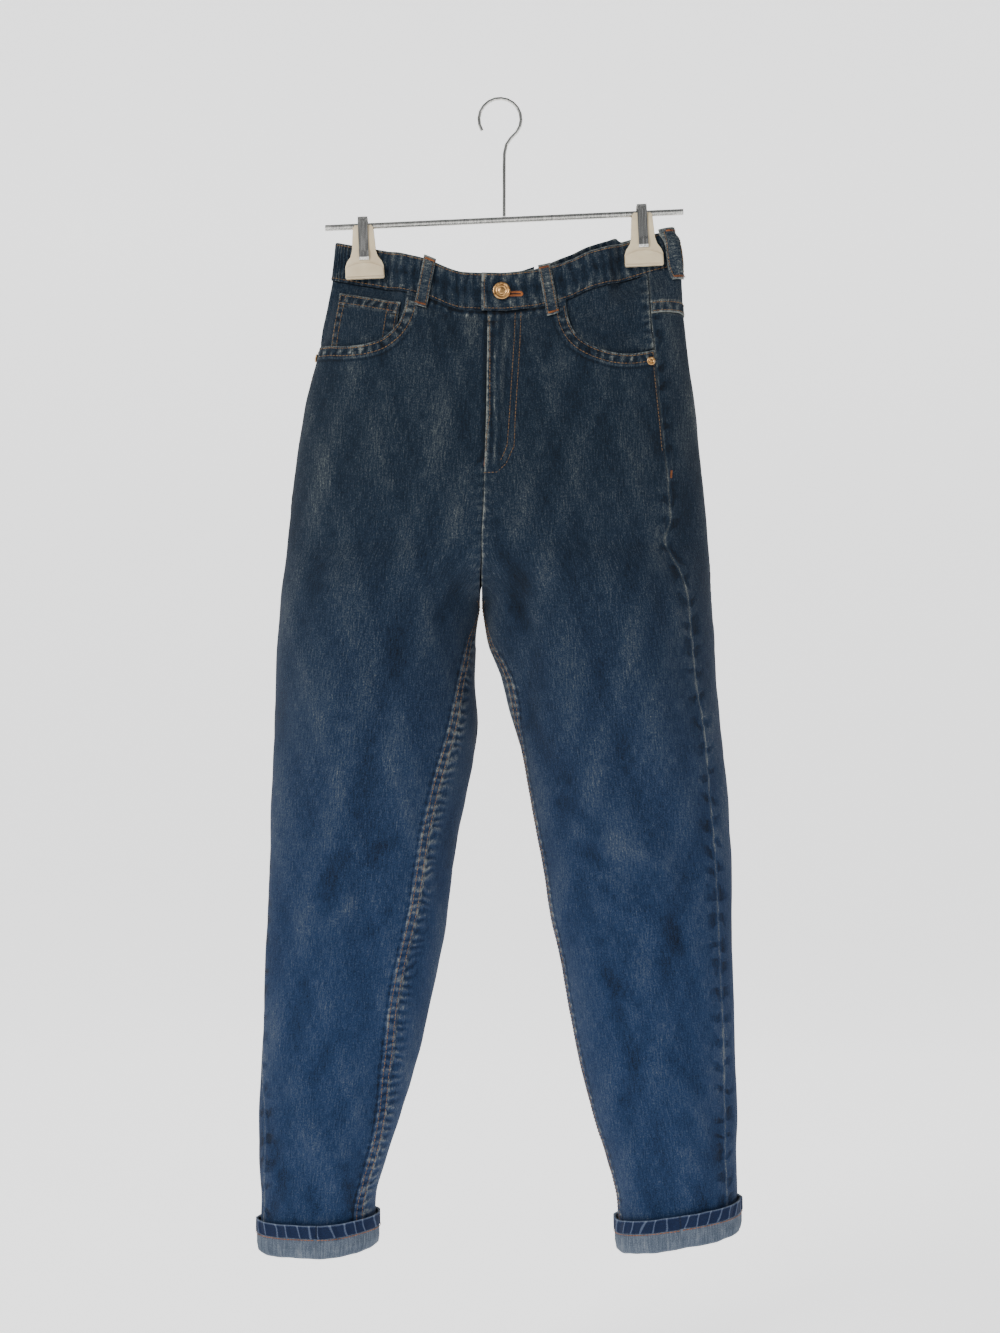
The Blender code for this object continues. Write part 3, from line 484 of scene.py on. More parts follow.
def spot(side, x, z, face="front"):
    """The level height and the angle of the point on the cloth with this x and real height."""
    x = np.asarray(x, float)
    level = np.asarray(z, float)
    for _ in range(5):
        turn = angle_at(side, level, x, face)
        px, py = section(side, level, turn)
        level = z - shift(side, px, py, level)
    return level, angle_at(side, level, x, face)


def grain(side, z, turn):
    """How far a point is from the grain line of its panel, which runs down the leg."""
    z, turn = np.broadcast_arrays(np.asarray(z, float), np.asarray(turn, float))
    x, y = section(side, z, turn)
    back = (turn + 90.0) % 360.0 - 90.0 > 90.0
    face_y = np.where(back, at(BODY, "back", z), -at(BODY, "front", z))
    line = 80.0 + 88.0 * (-200.0 - z) / 887.0
    return side * x - line + np.sign(np.sin(np.radians(turn))) * np.abs(y - face_y)


def outward(side, z, turn):
    """The direction that the cloth faces at each point."""
    z, turn = np.broadcast_arrays(np.asarray(z, float), np.asarray(turn, float))
    down = surface(side, z - 1.5, turn) - surface(side, z + 1.5, turn)
    along = surface(side, z, turn + 1.0) - surface(side, z, turn - 1.0)
    way = side * np.cross(down, along)
    return way / np.linalg.norm(way, axis=-1)[..., None]


def crease_mark(x, y, z):
    """Painted shade in the troughs of the folds, and lighter wear on their ridges: the small
    creases count most.
    """
    return fold_depth(x, y, z) + 7.0 * fold_depth(x, y, z, CREASES)


def lengths(grid):
    """How far each point is along its row."""
    step = np.linalg.norm(np.diff(grid, axis=1), axis=2)
    return np.concatenate([np.zeros((len(grid), 1)), np.cumsum(step, axis=1)], axis=1)


def near(distance, reach):
    return np.clip(1.0 - np.abs(distance) / reach, 0.0, 1.0)


def activate(thing):
    bpy.ops.object.select_all(action="DESELECT")
    thing.select_set(True)
    bpy.context.view_layer.objects.active = thing


def apply_modifiers(thing):
    activate(thing)
    for modifier in list(thing.modifiers):
        bpy.ops.object.modifier_apply(modifier=modifier.name)


def mesh_object(name, points, faces, marks, materials):
    mesh = bpy.data.meshes.new(name)
    mesh.from_pydata((np.asarray(points) * MM).tolist(), [], faces)
    for key, values in marks.items():
        kind = "FLOAT_VECTOR" if key == "weave" else "FLOAT"
        field = "vector" if key == "weave" else "value"
        layer = mesh.attributes.new(key, kind, "POINT")
        layer.data.foreach_set(field, np.ascontiguousarray(values, np.float32).ravel())
    for material in materials:
        mesh.materials.append(material)
    mesh.shade_smooth()
    thing = bpy.data.objects.new(name, mesh)
    bpy.context.scene.collection.objects.link(thing)
    return thing


def weave_of(along, down, seed):
    return np.stack([along, down, np.full_like(along, seed * 37.0)], axis=-1).reshape(-1, 3)


def cloth(name, side, grid, across, down, seed, marks, thickness=CLOTH):
    """A sheet through a grid of points of its outer face, given its wall inwards."""
    rows, columns = grid.shape[:2]
    index = np.arange(rows * columns).reshape(rows, columns)
    a, b, c, d = index[:-1, :-1], index[1:, :-1], index[1:, 1:], index[:-1, 1:]
    order = (a, b, c, d) if side == LEFT else (a, d, c, b)
    faces = np.stack(order, axis=-1).reshape(-1, 4).tolist()
    marks = {key: np.asarray(value).ravel() for key, value in marks.items()}
    marks["weave"] = weave_of(across, down, seed)
    looks = (denim(), denim_inside())
    marks.setdefault("crease", np.zeros(grid.shape[:2]).ravel())
    thing = mesh_object(name, grid.reshape(-1, 3), faces, marks, looks)
    wall = thing.modifiers.new("wall", "SOLIDIFY")
    wall.thickness = thickness * MM
    wall.offset = -1.0
    wall.material_offset = 1
    wall.material_offset_rim = 0
    apply_modifiers(thing)
    return thing


def tube(name, loops, marks, looks, seed=0, round_path=False, face_look=None):
    """A closed skin through a row of closed loops."""
    loops = np.asarray(loops, float)
    count, size = loops.shape[:2]
    faces = []
    rows = count if round_path else count - 1
    for m in range(rows):
        n = (m + 1) % count
        for k in range(size):
            j = (k + 1) % size
            faces.append((m * size + k, m * size + j, n * size + j, n * size + k))
    if not round_path:
        faces.append(tuple(range(size))[::-1])
        faces.append(tuple((count - 1) * size + k for k in range(size)))
    middle = loops.mean(axis=1)
    run = np.concatenate([[0.0], np.cumsum(np.linalg.norm(np.diff(middle, axis=0), axis=1))])
    around = np.linalg.norm(np.diff(loops, axis=1), axis=2)
    around = np.concatenate([np.zeros((count, 1)), np.cumsum(around, axis=1)], axis=1)
    marks = {key: np.asarray(value).ravel() for key, value in marks.items()}
    marks["weave"] = weave_of(run[:, None] + np.zeros_like(around), around, seed)
    thing = mesh_object(name, loops.reshape(-1, 3), faces, marks, looks)
    if face_look is not None:
        slots = np.array([face_look(k) for _ in range(rows) for k in range(size)], np.int32)
        slots = np.concatenate([slots, np.zeros(len(faces) - len(slots), np.int32)])
        thing.data.polygons.foreach_set("material_index", slots)
    turn_out(thing)
    return thing


def turn_out(thing):
    activate(thing)
    bpy.ops.object.mode_set(mode="EDIT")
    bpy.ops.mesh.select_all(action="SELECT")
    bpy.ops.mesh.normals_make_consistent(inside=False)
    bpy.ops.object.mode_set(mode="OBJECT")


class Value:
    """An output of a material's nodes. Arithmetic on it adds Math nodes."""

    def __init__(self, shade, socket):
        self.shade = shade
        self.socket = socket

    def math(self, operation, *values):
        sockets = dict(enumerate(values))
        return self.shade.node("ShaderNodeMath", {"operation": operation}, sockets)

    def __add__(self, other):
        return self.math("ADD", self, other)

    def __sub__(self, other):
        return self.math("SUBTRACT", self, other)

    def __rsub__(self, other):
        return self.math("SUBTRACT", other, self)

    def __mul__(self, other):
        return self.math("MULTIPLY", self, other)

    def __truediv__(self, other):
        return self.math("DIVIDE", self, other)

    __radd__ = __add__
    __rmul__ = __mul__

    def sine(self):
        return self.math("SINE", self)

    def step(self, low, high):
        """0 below low, 1 above high, and smooth between."""
        settings = {"interpolation_type": "SMOOTHSTEP"}
        sockets = {"Value": self, "From Min": low, "From Max": high}
        return self.shade.node("ShaderNodeMapRange", settings, sockets, "Result")


class Shade:
    """A material and its nodes."""

    def __init__(self, name, roughness=0.8, metallic=0.0):
        self.material = bpy.data.materials.new(name)
        self.material.use_nodes = True
        self.tree = self.material.node_tree
        self.shader = self.tree.nodes["Principled BSDF"]
        self.shader.inputs["Roughness"].default_value = roughness
        self.shader.inputs["Metallic"].default_value = metallic

    def node(self, kind, settings=None, sockets=None, output=0):
        made = self.tree.nodes.new(kind)
        for key, value in (settings or {}).items():
            if key == "stops":
                ramp = made.color_ramp
                for place, colour in value[1:-1]:
                    ramp.elements.new(place)
                for element, (place, colour) in zip(ramp.elements, value):
                    element.position = place
                    element.color = (*colour, 1.0)
            else:
                setattr(made, key, value)
        for key, value in (sockets or {}).items():
            self.put(made.inputs[key], value)
        return Value(self, made.outputs[output])

    def put(self, socket, value):
        if isinstance(value, Value):
            self.tree.links.new(value.socket, socket)
        else:
            socket.default_value = value

    def surface(self, **values):
        for key, value in values.items():
            self.put(self.shader.inputs[key.replace("_", " ")], value)

    def mark(self, name, output="Fac"):
        return self.node("ShaderNodeAttribute", {"attribute_name": name}, output=output)

    def place(self):
        return self.node("ShaderNodeTexCoord", output="Object")

    def scaled(self, vector, factors):
        sockets = {0: vector, 1: factors}
        return self.node("ShaderNodeVectorMath", {"operation": "MULTIPLY"}, sockets)

    def parts(self, vector):
        made = self.node("ShaderNodeSeparateXYZ", None, {0: vector})
        return tuple(Value(self, out) for out in made.socket.node.outputs)

    def noise(self, vector, scale=1.0, detail=2.0, roughness=0.5):
        sockets = {"Vector": vector, "Scale": scale, "Detail": detail, "Roughness": roughness}
        return self.node("ShaderNodeTexNoise", None, sockets)

    def ramp(self, value, *stops):
        return self.node("ShaderNodeValToRGB", {"stops": stops}, {"Fac": value})

    def mix(self, factor, first, second):
        settings = {"data_type": "RGBA", "clamp_factor": True}
        return self.node("ShaderNodeMix", settings, {0: factor, 6: first, 7: second}, 2)

    def bump(self, height, distance, strength=1.0):
        sockets = {"Height": height, "Distance": distance, "Strength": strength}
        self.surface(Normal=self.node("ShaderNodeBump", None, sockets))


def linear(red, green, blue):
    """A colour from its 0 to 255 screen values."""
    parts = [value / 255.0 for value in (red, green, blue)]
    return tuple(p / 12.92 if p <= 0.04045 else ((p + 0.055) / 1.055) ** 2.4 for p in parts)


def once(make):
    """Each material is made once."""

    def find():
        found = bpy.data.materials.get(make.__name__)
        if found is None or not found.get("finished"):
            found = make()
            found["finished"] = True
        return found

    return find


def seam_rope(shade, weave, height):
    """Light ridges and dark hollows that cross a seam, no two alike."""
    drift = shade.noise(shade.scaled(weave, (0.04, 0.04, 1.0)), detail=2.0) * 12.0
    return (shade.mark("beat") * (TURN / height) + drift).sine()


@once
def denim():
    shade = Shade("denim", roughness=0.88)
    props = bpy.context.scene.jeans
    weave = shade.mark("weave", "Vector")
    across, down, _ = shade.parts(weave)
    _, _, up = shade.parts(shade.place())
    slub = shade.noise(shade.scaled(weave, (0.62, 0.1, 1.0)), detail=3.0, roughness=0.6)
    grain_spots = shade.noise(shade.scaled(weave, (0.9, 0.55, 1.0)), detail=3.0, roughness=0.75)
    fine = shade.noise(shade.scaled(weave, (1.7, 1.2, 1.0)), detail=1.0)
    cloud = shade.noise(shade.scaled(weave, (0.016, 0.008, 1.0)), detail=3.0)
    twill = ((across + down) * (TURN / 1.1)).sine()
    rope = seam_rope(shade, weave, 8.6)
    pucker = seam_rope(shade, weave, 23.0).step(-0.1, 0.9)
    edge = shade.mark("edge")
    near_rope = shade.mark("rope")
    near_pucker = shade.mark("pucker")
    tone = 0.5 + (slub - 0.5) * 0.8 + (grain_spots - 0.5) * 1.15 + (fine - 0.5) * 0.6
    # Painted shade darkens the troughs of the folds, and their ridges get lighter wear.
    tone = tone + (cloud - 0.5) * 0.3 - shade.mark("crease") * 0.016
    worn = shade.noise(shade.scaled(weave, (0.12, 0.16, 1.0)), detail=3.0, roughness=0.6)
    tone = tone + near_rope * (rope * 0.2 + (worn - 0.45) * 0.9) - near_pucker * pucker * 0.28
    # The ridge mark paints highlights along raised seam edges and shadow lines beside seams. The
    # edge mark is rubbed wear.
    tone = tone + shade.mark("ridge") * 0.32 + edge * worn.step(0.1, 0.55) * 0.46
    upper = shade.ramp(tone, *props.tones("upper"))
    lower = shade.ramp(tone, *props.tones("lower"))
    blue = (up * -1.0).step(0.3, 0.9)
    colour = shade.mix(blue, upper, lower)
    shade.surface(Base_Color=colour)
    height = slub * 0.35 + grain_spots * 0.6 + twill * 0.12
    height = height + near_rope * rope * 1.6 - near_pucker * pucker * 2.2
    shade.bump(height, 0.0006, 0.8)
    shade.shader.inputs["Sheen Weight"].default_value = 0.04
    shade.shader.inputs["Sheen Roughness"].default_value = 0.6
    shade.shader.inputs["Specular IOR Level"].default_value = 0.12
    return shade.material


@once
def denim_inside():
    shade = Shade("denim_inside", roughness=0.9)
    weave = shade.mark("weave", "Vector")
    across, down, _ = shade.parts(weave)
    slub = shade.noise(shade.scaled(weave, (0.7, 0.06, 1.0)), detail=3.0, roughness=0.6)
    grain = shade.noise(shade.scaled(weave, (1.3, 1.0, 1.0)), detail=2.0, roughness=0.7)
    cloud = shade.noise(shade.scaled(weave, (0.05, 0.05, 1.0)), detail=2.0)
    twill = ((across - down) * (TURN / 1.1)).sine()
    tone = 0.5 + (slub - 0.5) * 0.7 + (grain - 0.5) * 0.8 + (cloud - 0.5) * 0.3 + twill * 0.02
    dark = linear(44, 53, 66)
    middle = linear(76, 86, 100)
    light = linear(128, 134, 142)
    colour = shade.ramp(tone, (0.2, dark), (0.5, middle), (0.85, light))
    shade.surface(Base_Color=colour)
    shade.bump(slub * 0.35 + grain * 0.5 + twill * 0.12, 0.0005, 0.7)
    shade.shader.inputs["Specular IOR Level"].default_value = 0.2
    return shade.material


@once
def hem_band():
    """The dark outer face at a cuff's rim, crossed by light slanting veins."""
    shade = Shade("hem_band", roughness=0.88)
    weave = shade.mark("weave", "Vector")
    across, down, _ = shade.parts(weave)
    drift = shade.noise(shade.scaled(weave, (0.05, 0.03, 1.0)), detail=1.0) * 8.0
    vein = (across * (TURN / 11.0) + down * 0.14 + drift).sine()
    grain = shade.noise(shade.scaled(weave, (1.4, 1.0, 1.0)), detail=3.0, roughness=0.7)
    tone = 0.4 + (grain - 0.5) * 0.8 + vein.step(0.8, 1.0) * 0.3 + shade.mark("edge") * 0.5
    dark = linear(8, 14, 28)
    middle = linear(20, 35, 66)
    light = linear(100, 112, 132)
    shade.surface(Base_Color=shade.ramp(tone, (0.2, dark), (0.5, middle), (0.95, light)))
    shade.bump(grain * 0.5 + vein * 1.2, 0.0006, 0.8)
    shade.shader.inputs["Specular IOR Level"].default_value = 0.2
    return shade.material


def thread_material(name, dark, light):
    shade = Shade(name, roughness=0.6)
    spots = shade.noise(shade.place(), scale=140.0, detail=2.0)
    shade.surface(Base_Color=shade.ramp(spots, (0.3, dark), (0.7, light)))
    return shade.material


@once
def tan_thread():
    return thread_material("tan_thread", linear(76, 54, 28), linear(132, 98, 54))


@once
def rust_thread():
    return thread_material("rust_thread", linear(98, 50, 18), linear(158, 90, 34))


@once
def brass():
    shade = Shade("brass", roughness=0.34, metallic=1.0)
    spots = shade.noise(shade.place(), scale=420.0, detail=3.0)
    colour = shade.ramp(spots, (0.3, linear(150, 108, 66)), (0.7, linear(222, 178, 120)))
    shade.surface(Base_Color=colour, Roughness=0.24 + spots * 0.25)
    shade.bump(spots, 0.0001, 0.4)
    return shade.material


@once
def steel():
    shade = Shade("steel", roughness=0.25, metallic=1.0)
    brushed = shade.noise(shade.scaled(shade.place(), (900.0, 900.0, 40.0)), detail=2.0)
    colour = shade.ramp(brushed, (0.3, linear(150, 150, 146)), (0.7, linear(214, 213, 208)))
    shade.surface(Base_Color=colour, Roughness=0.2 + brushed * 0.08)
    return shade.material


@once
def hanger_plastic():
    shade = Shade("hanger_plastic", roughness=0.42)
    cloud = shade.noise(shade.place(), scale=60.0, detail=3.0)
    fine = shade.noise(shade.place(), scale=1500.0, detail=1.0)
    colour = shade.ramp(cloud, (0.3, linear(196, 178, 146)), (0.7, linear(212, 196, 164)))
    shade.surface(Base_Color=colour, Roughness=0.36 + fine * 0.14)
    shade.bump(fine, 0.00008, 0.5)
    return shade.material


def sew(paths, pitch, long, radius):
    """Threads along paths of points and outward directions: each stitch rises and dips back in."""
    rings = np.linspace(0.0, 1.0, 5)
    sides = 5
    all_points = []
    for points, ways in paths:
        step = np.linalg.norm(np.diff(points, axis=0), axis=1)
        run = np.concatenate([[0.0], np.cumsum(step)])
        count = int(run[-1] // pitch)
        if count < 1:
            continue
        starts = (run[-1] - count * pitch) / 2 + pitch * np.arange(count)
        where = starts[:, None] + (pitch - long) / 2 + long * rings[None, :]
        centre = np.stack([np.interp(where, run, points[:, k]) for k in range(3)], axis=-1)
        way = np.stack([np.interp(where, run, ways[:, k]) for k in range(3)], axis=-1)
        way = way / np.linalg.norm(way, axis=-1)[..., None]
        ahead = centre[:, -1] - centre[:, 0]
        ahead = ahead / np.linalg.norm(ahead, axis=-1)[:, None]
        aside = np.cross(ahead[:, None, :], way)
        arch = np.sin(np.pi * rings)
        centre = centre + way * (radius * (1.1 * arch - 0.35))[None, :, None]
        size = radius * (0.55 + 0.45 * arch)
        for k in range(sides):
            turn = 2.0 * math.pi * k / sides
            arm = way * math.cos(turn) + aside * math.sin(turn)
            all_points.append((centre + arm * size[None, :, None], k))
    return all_points, sides, len(rings)


def threads(name, paths, material, pitch=3.5, long=2.8, radius=0.34):
    """One mesh of all the stitches along the paths."""
    pieces, sides, rings = sew(paths, pitch, long, radius)
    points = []
    faces = []
    for first in range(0, len(pieces), sides):
        ring = np.stack([pieces[first + k][0] for k in range(sides)], axis=2)
        count = len(ring)
        base = sum(len(part) for part in points)
        points.append(ring.reshape(-1, 3))
        for s in range(count):
            start = base + s * rings * sides
            for r in range(rings - 1):
                for k in range(sides):
                    j = (k + 1) % sides
                    a = start + r * sides
                    faces.append((a + k, a + j, a + sides + j, a + sides + k))
            faces.append(tuple(start + k for k in range(sides))[::-1])
            faces.append(tuple(start + (rings - 1) * sides + k for k in range(sides)))
    points = np.concatenate(points)
    thing = mesh_object(name, points, faces, {}, (material,))
    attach(thing, "root")
    return thing


def path(side, z, turn, lift):
    """Points for a row of stitches, with the directions that the cloth faces there."""
    z, turn, lift = np.broadcast_arrays(*(np.asarray(part, float) for part in (z, turn, lift)))
    return surface(side, z, turn, lift), outward(side, z, turn)


def trace(side, shape, distance, value, rows=slice(None)):
    """The row of stitches where a distance from an edge has this value."""
    found = []
    for z, turn, up, far in zip(*(part[rows] for part in (*shape, distance))):
        found.append([np.interp(value, far, part) for part in (z, turn, up)])
    return path(side, *np.array(found).T)


def tack(side, x, z, wide, lift, face="front", lean=0.0, tall=2.2):
    """A bar tack: short threads side by side. Its height is the level one."""
    count = max(3, int(wide / 0.62))
    aside = np.linspace(-wide / 2, wide / 2, count)[:, None]
    ends = np.array([-tall / 2, 0.0, tall / 2])[None, :]
    across = x + aside * math.cos(lean) - ends * math.sin(lean)
    level = z + aside * math.sin(lean) + ends * math.cos(lean)
    points, ways = path(side, level, angle_at(side, level, across, face), lift)
    return list(zip(points, ways))


def sewn_through(side, rows, lift):
    """A row of stitches through table rows of x and real height."""
    rows = np.array(rows, float)
    run = np.concatenate([[0.0], np.cumsum(np.hypot(*np.diff(rows, axis=0).T))])
    fine = np.linspace(0.0, run[-1], max(8, int(run[-1] / 2.0)))
    x = np.interp(fine, run, rows[:, 0])
    z = np.interp(fine, run, rows[:, 1])
    level, turn = spot(side, x, z)
    return path(side, level, turn, lift)


def declare(thing, nodes):
    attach(thing, "root")
    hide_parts(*nodes)


def front_layout(side, count=84):
    """Heights and angles of a front panel's grid, from the waistband and the pocket edge down."""
    opening = OPENINGS[0] if side == RIGHT else OPENINGS[1]
    share = np.linspace(0.0, 1.0, count - TOP_COLUMNS) ** 1.7
    seam_sine = np.sin(np.radians(min(90.0, at(SEAMS, word(side) + "_side", WAIST_SEAM))))
    top_angle = angle_at(side, WAIST_SEAM, opening.top_x)
    top_sine = np.sin(np.radians(top_angle))
    curve = np.degrees(np.arcsin(np.clip(top_sine + (seam_sine - top_sine) * share, -1.0, 1.0)))
    drop = np.concatenate([np.zeros(TOP_COLUMNS), opening_drop(opening, share)])
    steps = 34
    fall = np.linspace(0.0, 1.0, steps + 1)[:-1, None]
    top = WAIST_SEAM + 1.2 - drop[None, :]
    heights = top + (LEVEL_ROWS - WAIST_SEAM - 1.2 + drop[None, :]) * fall
    low = np.linspace(LEVEL_ROWS, HEM, LEG_ROWS)
    heights = np.concatenate([heights, np.repeat(low[:, None], count, axis=1)])
    angles = np.zeros_like(heights)
    part = np.linspace(0.0, 1.0, count)
    part = 0.55 * part + 0.45 * (0.5 - 0.5 * np.cos(np.pi * part))
    for r, row in enumerate(heights):
        z = row[-1]
        inseam = at(SEAMS, word(side) + "_inseam", z)
        turn = at(MIDDLE, "front_turn", z) if z > CROTCH else inseam
        first = turn + (degrees_for(side, z, GAP / 2, turn) if z <= CROTCH else 0.0)
        if side == RIGHT:
            under = 9.5 * smooth((z - FLY_END) / 14.0)
            if under > 0:
                first = first + angle_at(side, z, at(MIDDLE, "front_x", z) + under)
        last = at(SEAMS, word(side) + "_side", z)
        last = last - degrees_for(side, z, GAP / 2, last)
        start = first + (top_angle - first) * np.arange(TOP_COLUMNS) / TOP_COLUMNS
        shaped = np.concatenate([start, curve[: count - TOP_COLUMNS]])
        if side == RIGHT:
            stretch = smooth((shaped - 60.0) / 30.0)
            shaped = shaped + stretch * (last - 90.0)
        else:
            stretch = smooth((shaped - top_angle) / (curve[-1] - top_angle))
            shaped = shaped + stretch * (last - curve[-1])
        even = first + (last - first) * part
        angles[r] = shaped + (even - shaped) * smooth((LEVEL_ROWS - z) / 130.0)
    return opening, heights, angles


def front_shape(side):
    """A front panel's grid, and each point's distance from the inner, outer and pocket edges."""
    heights, angles = front_layout(side)[1:]
    base = surface(side, heights, angles)
    inner = lengths(base)
    outer = inner[:, -1:] - inner
    gap = np.full_like(inner, 99.0)
    along_edge = np.zeros_like(inner)
    run = lengths(base[:1, TOP_COLUMNS:])[0]
    for r in range(POCKET_ROWS):
        away = np.linalg.norm(base[r][:, None] - base[0, TOP_COLUMNS:][None], axis=2)
        gap[r] = np.min(away, axis=1)
        along_edge[r] = run[np.argmin(away, axis=1)]
    fell = smooth((-490.0 - heights) / 45.0)
    lift = SEAM_LIFT * fell * smooth((SEAM_BAND + 0.7 - inner) / 1.6)
    if side == LEFT:
        fly = smooth((17.0 - inner) / 7.0) * smooth((heights - FLY_END + 4.0) / 8.0)
        lift = lift + FLY_LIFT * fly
    lift = lift + 0.55 * smooth((11.8 - gap) / 1.4)
    return heights, angles, lift, inner, outer, gap, fell, along_edge


# The fly's long folds, painted as stripes of light and shade: distance from its edge, reach, how
# much lighter (below 0, how much darker).
FLY_FOLD_SHADING = (
    (1.4, 2.0, 0.9), (4.6, 2.2, -1.0), (8.0, 2.4, 0.9), (12.2, 2.6, -0.7), (17.0, 3.0, 0.5),
)


def front_panel(side):
    heights, angles, lift, inner, outer, gap, fell, along_edge = front_shape(side)
    grid = surface(side, heights, angles, lift)
    x, y = section(side, heights, angles)
    rope = fell * near(inner - 4.5, 12.0) + (1.0 - fell) * 0.5 * near(inner, 12.0)
    # Painted highlights along the raised edges of the felled seam and at the side seam.
    ridge = fell * (near(inner - 0.6, 1.6) + near(inner - SEAM_BAND, 1.6)) + near(outer, 2.2)
    edge = near(gap, 2.6) + 0.4 * near(gap - 11.8, 1.8)
    if side == LEFT:
        edge = edge + near(inner, 2.2) * smooth((heights - CROTCH) / 20.0)
    fly = smooth((heights - FLY_END) / 14.0)
    band = near(gap - 5.6, 6.5)
    under = near(heights - WAIST_SEAM + 4.0, 6.0) * (gap > 14.0)
    # Painted shadow lines beside the felled seam, along the pocket edge and under the waistband.
    ridge = ridge - 0.9 * fell * near(inner - 11.2, 2.4) - 0.7 * near(gap - 14.0, 2.2)
    ridge = ridge - 1.6 * near(heights - WAIST_SEAM + 1.2, 2.0) * (gap > 14.0)
    # Painted shadow beside the fly's edge on the right panel, and painted light and shade of the
    # fly's folds on the left.
    if side == RIGHT:
        ridge = ridge - 1.3 * near(inner - 10.2, 3.2) * fly
    else:
        for place, reach, tone in FLY_FOLD_SHADING:
            ridge = ridge + tone * near(inner - place - 1.2 * np.sin(heights / 19.0), reach) * fly
    marks = {
        "crease": crease_mark(x, y, grid[..., 2]),
        "rope": np.maximum(rope, np.maximum(1.3 * band, 0.7 * under)),
        "ridge": ridge,
        "edge": edge,
        "pucker": near(outer - 5.0, 10.0) * smooth((-350.0 - heights) / 40.0),
        "beat": np.where(gap < 16.0, along_edge, np.where(heights > WAIST_SEAM - 11.0, x, heights)),
    }
    across = grain(side, heights, angles)
    thing = cloth("front_" + word(side), side, grid, across, heights, side + 2.0, marks)
    declare(thing, ["front_panel_" + word(side)])


def pocket_rows(opening, distance, lift):
    """A row of stitches along a pocket's edge."""
    heights, angles = front_layout(opening.side)[1:]
    edge = surface(opening.side, heights[0, TOP_COLUMNS:], angles[0, TOP_COLUMNS:])
    x, z = edge[:, 0], edge[:, 2]
    run = np.stack([np.gradient(x), np.gradient(z)])
    run = run / np.linalg.norm(run, axis=0)
    x = x + opening.side * run[1] * distance
    z = z - opening.side * run[0] * distance
    level, turn = spot(opening.side, x, z)
    keep = level < WAIST_SEAM - 1.0
    return path(opening.side, level[keep], turn[keep], lift)


def front_threads():
    tan = []
    rust = []
    for side in (RIGHT, LEFT):
        heights, angles, lift, inner, outer = front_shape(side)[:5]
        shape = (heights, angles, lift)
        low = heights[:, 0] < -475.0
        for value in (2.0, 7.6):
            tan.append(trace(side, shape, inner, value, low))
        high = (heights[:, -1] > -358.0) & (np.arange(len(heights)) > 0)
        tan.append(trace(side, shape, -outer, -2.4, high))
    for opening in OPENINGS:
        for distance in (2.0, 9.2):
            tan.append(pocket_rows(opening, distance, 0.6))
    for rows in (FLY_OUTER, FLY_INNER, FLY_EDGE):
        tan.append(sewn_through(LEFT, rows, 0.05 if rows is not FLY_EDGE else 1.5))
    rust += tack(LEFT, -13.6, -347.0, 9.0, 0.5, lean=1.45)
    level, _ = spot(LEFT, 160.5, -358.0)
    rust += tack(LEFT, 160.3, float(level), 5.0, 0.3, lean=1.45)
    threads("front_topstitching", tan, tan_thread())
    threads("front_bar_tacks", rust, rust_thread(), 2.1, 2.1, 0.3)


def back_layout(side, columns, rows):
    """Angles of the back's columns at each height."""
    part = np.linspace(0.0, 1.0, columns)
    part = 0.6 * part + 0.4 * (0.5 - 0.5 * np.cos(np.pi * part))
    angles = []
    for z in rows:
        ends = back_angles(side, z, 2)
        angles.append(ends[0] + (ends[1] - ends[0]) * part)
    return part, np.array(angles)


def back_panel(side):
    low = np.linspace(LEVEL_ROWS, HEM, LEG_ROWS)
    part, _ = back_layout(side, BACK_COLUMNS, low[:1])
    top = yoke_seam(part) - GAP
    upper = top[None, :] + (LEVEL_ROWS - top[None, :]) * np.linspace(0.0, 1.0, 17)[:-1, None]
    heights = np.concatenate([upper, np.repeat(low[:, None], BACK_COLUMNS, axis=1)])
    _, angles = back_layout(side, BACK_COLUMNS, heights[:, 0])
    base = surface(side, heights, angles)
    outer = lengths(base)
    inner = outer[:, -1:] - outer
    seat = smooth((heights + 470.0) / 30.0)
    lift = 0.6 * seat * smooth((9.6 - inner) / 1.5) if side == LEFT else 0.0 * seat
    grid = surface(side, heights, angles, lift)
    x, y = section(side, heights, angles)
    crease = crease_mark(x, y, grid[..., 2])
    seam = near(inner - 3.0, 12.0)
    # Painted highlights along the raised seam edges at both sides of the panel.
    ridge = near(outer, 2.0) + near(inner, 1.8)
    below = near(heights - top[None, :], 3.0)
    marks = {"crease": crease, "rope": seam, "ridge": ridge, "edge": 0.5 * below, "beat": heights}
    marks["pucker"] = near(outer - 4.0, 9.0)
    across = grain(side, heights, angles)
    thing = cloth("back_" + word(side), side, grid, across, heights, side + 6.0, marks)
    declare(thing, ["back_panel_" + word(side)])


def yoke(side):
    part, _ = back_layout(side, BACK_COLUMNS, np.array([WAIST_SEAM]))
    low = yoke_seam(part)
    top = np.full(BACK_COLUMNS, SEAM_EDGE)
    heights = top[None, :] + (low - top)[None, :] * np.linspace(0.0, 1.0, 30)[:, None]
    _, angles = back_layout(side, BACK_COLUMNS, heights[:, 0])
    rise = heights - low[None, :]
    base = surface(side, heights, angles)
    outer = lengths(base)
    inner = outer[:, -1:] - outer
    lift = SEAM_LIFT * smooth((12.2 - rise) / 1.6)
    grid = surface(side, heights, angles, lift)
    x, y = section(side, heights, angles)
    marks = {
        "crease": crease_mark(x, y, grid[..., 2]),
        # Painted highlights along the yoke seam's raised edges and the side seam.
        "ridge": near(rise, 1.8) + near(rise - 11.5, 1.8) + near(outer, 2.0),
        "edge": 0.6 * near(rise, 3.0),
        "rope": np.maximum(near(inner - 3.0, 10.0), near(rise - 6.0, 8.0)),
        "beat": np.where(inner < 13.0, heights, outer),
    }
    across = grain(side, heights, angles)
    thing = cloth("yoke_cloth_" + word(side), side, grid, across, heights, side + 10.0, marks)
    declare(thing, ["yoke_" + word(side)])


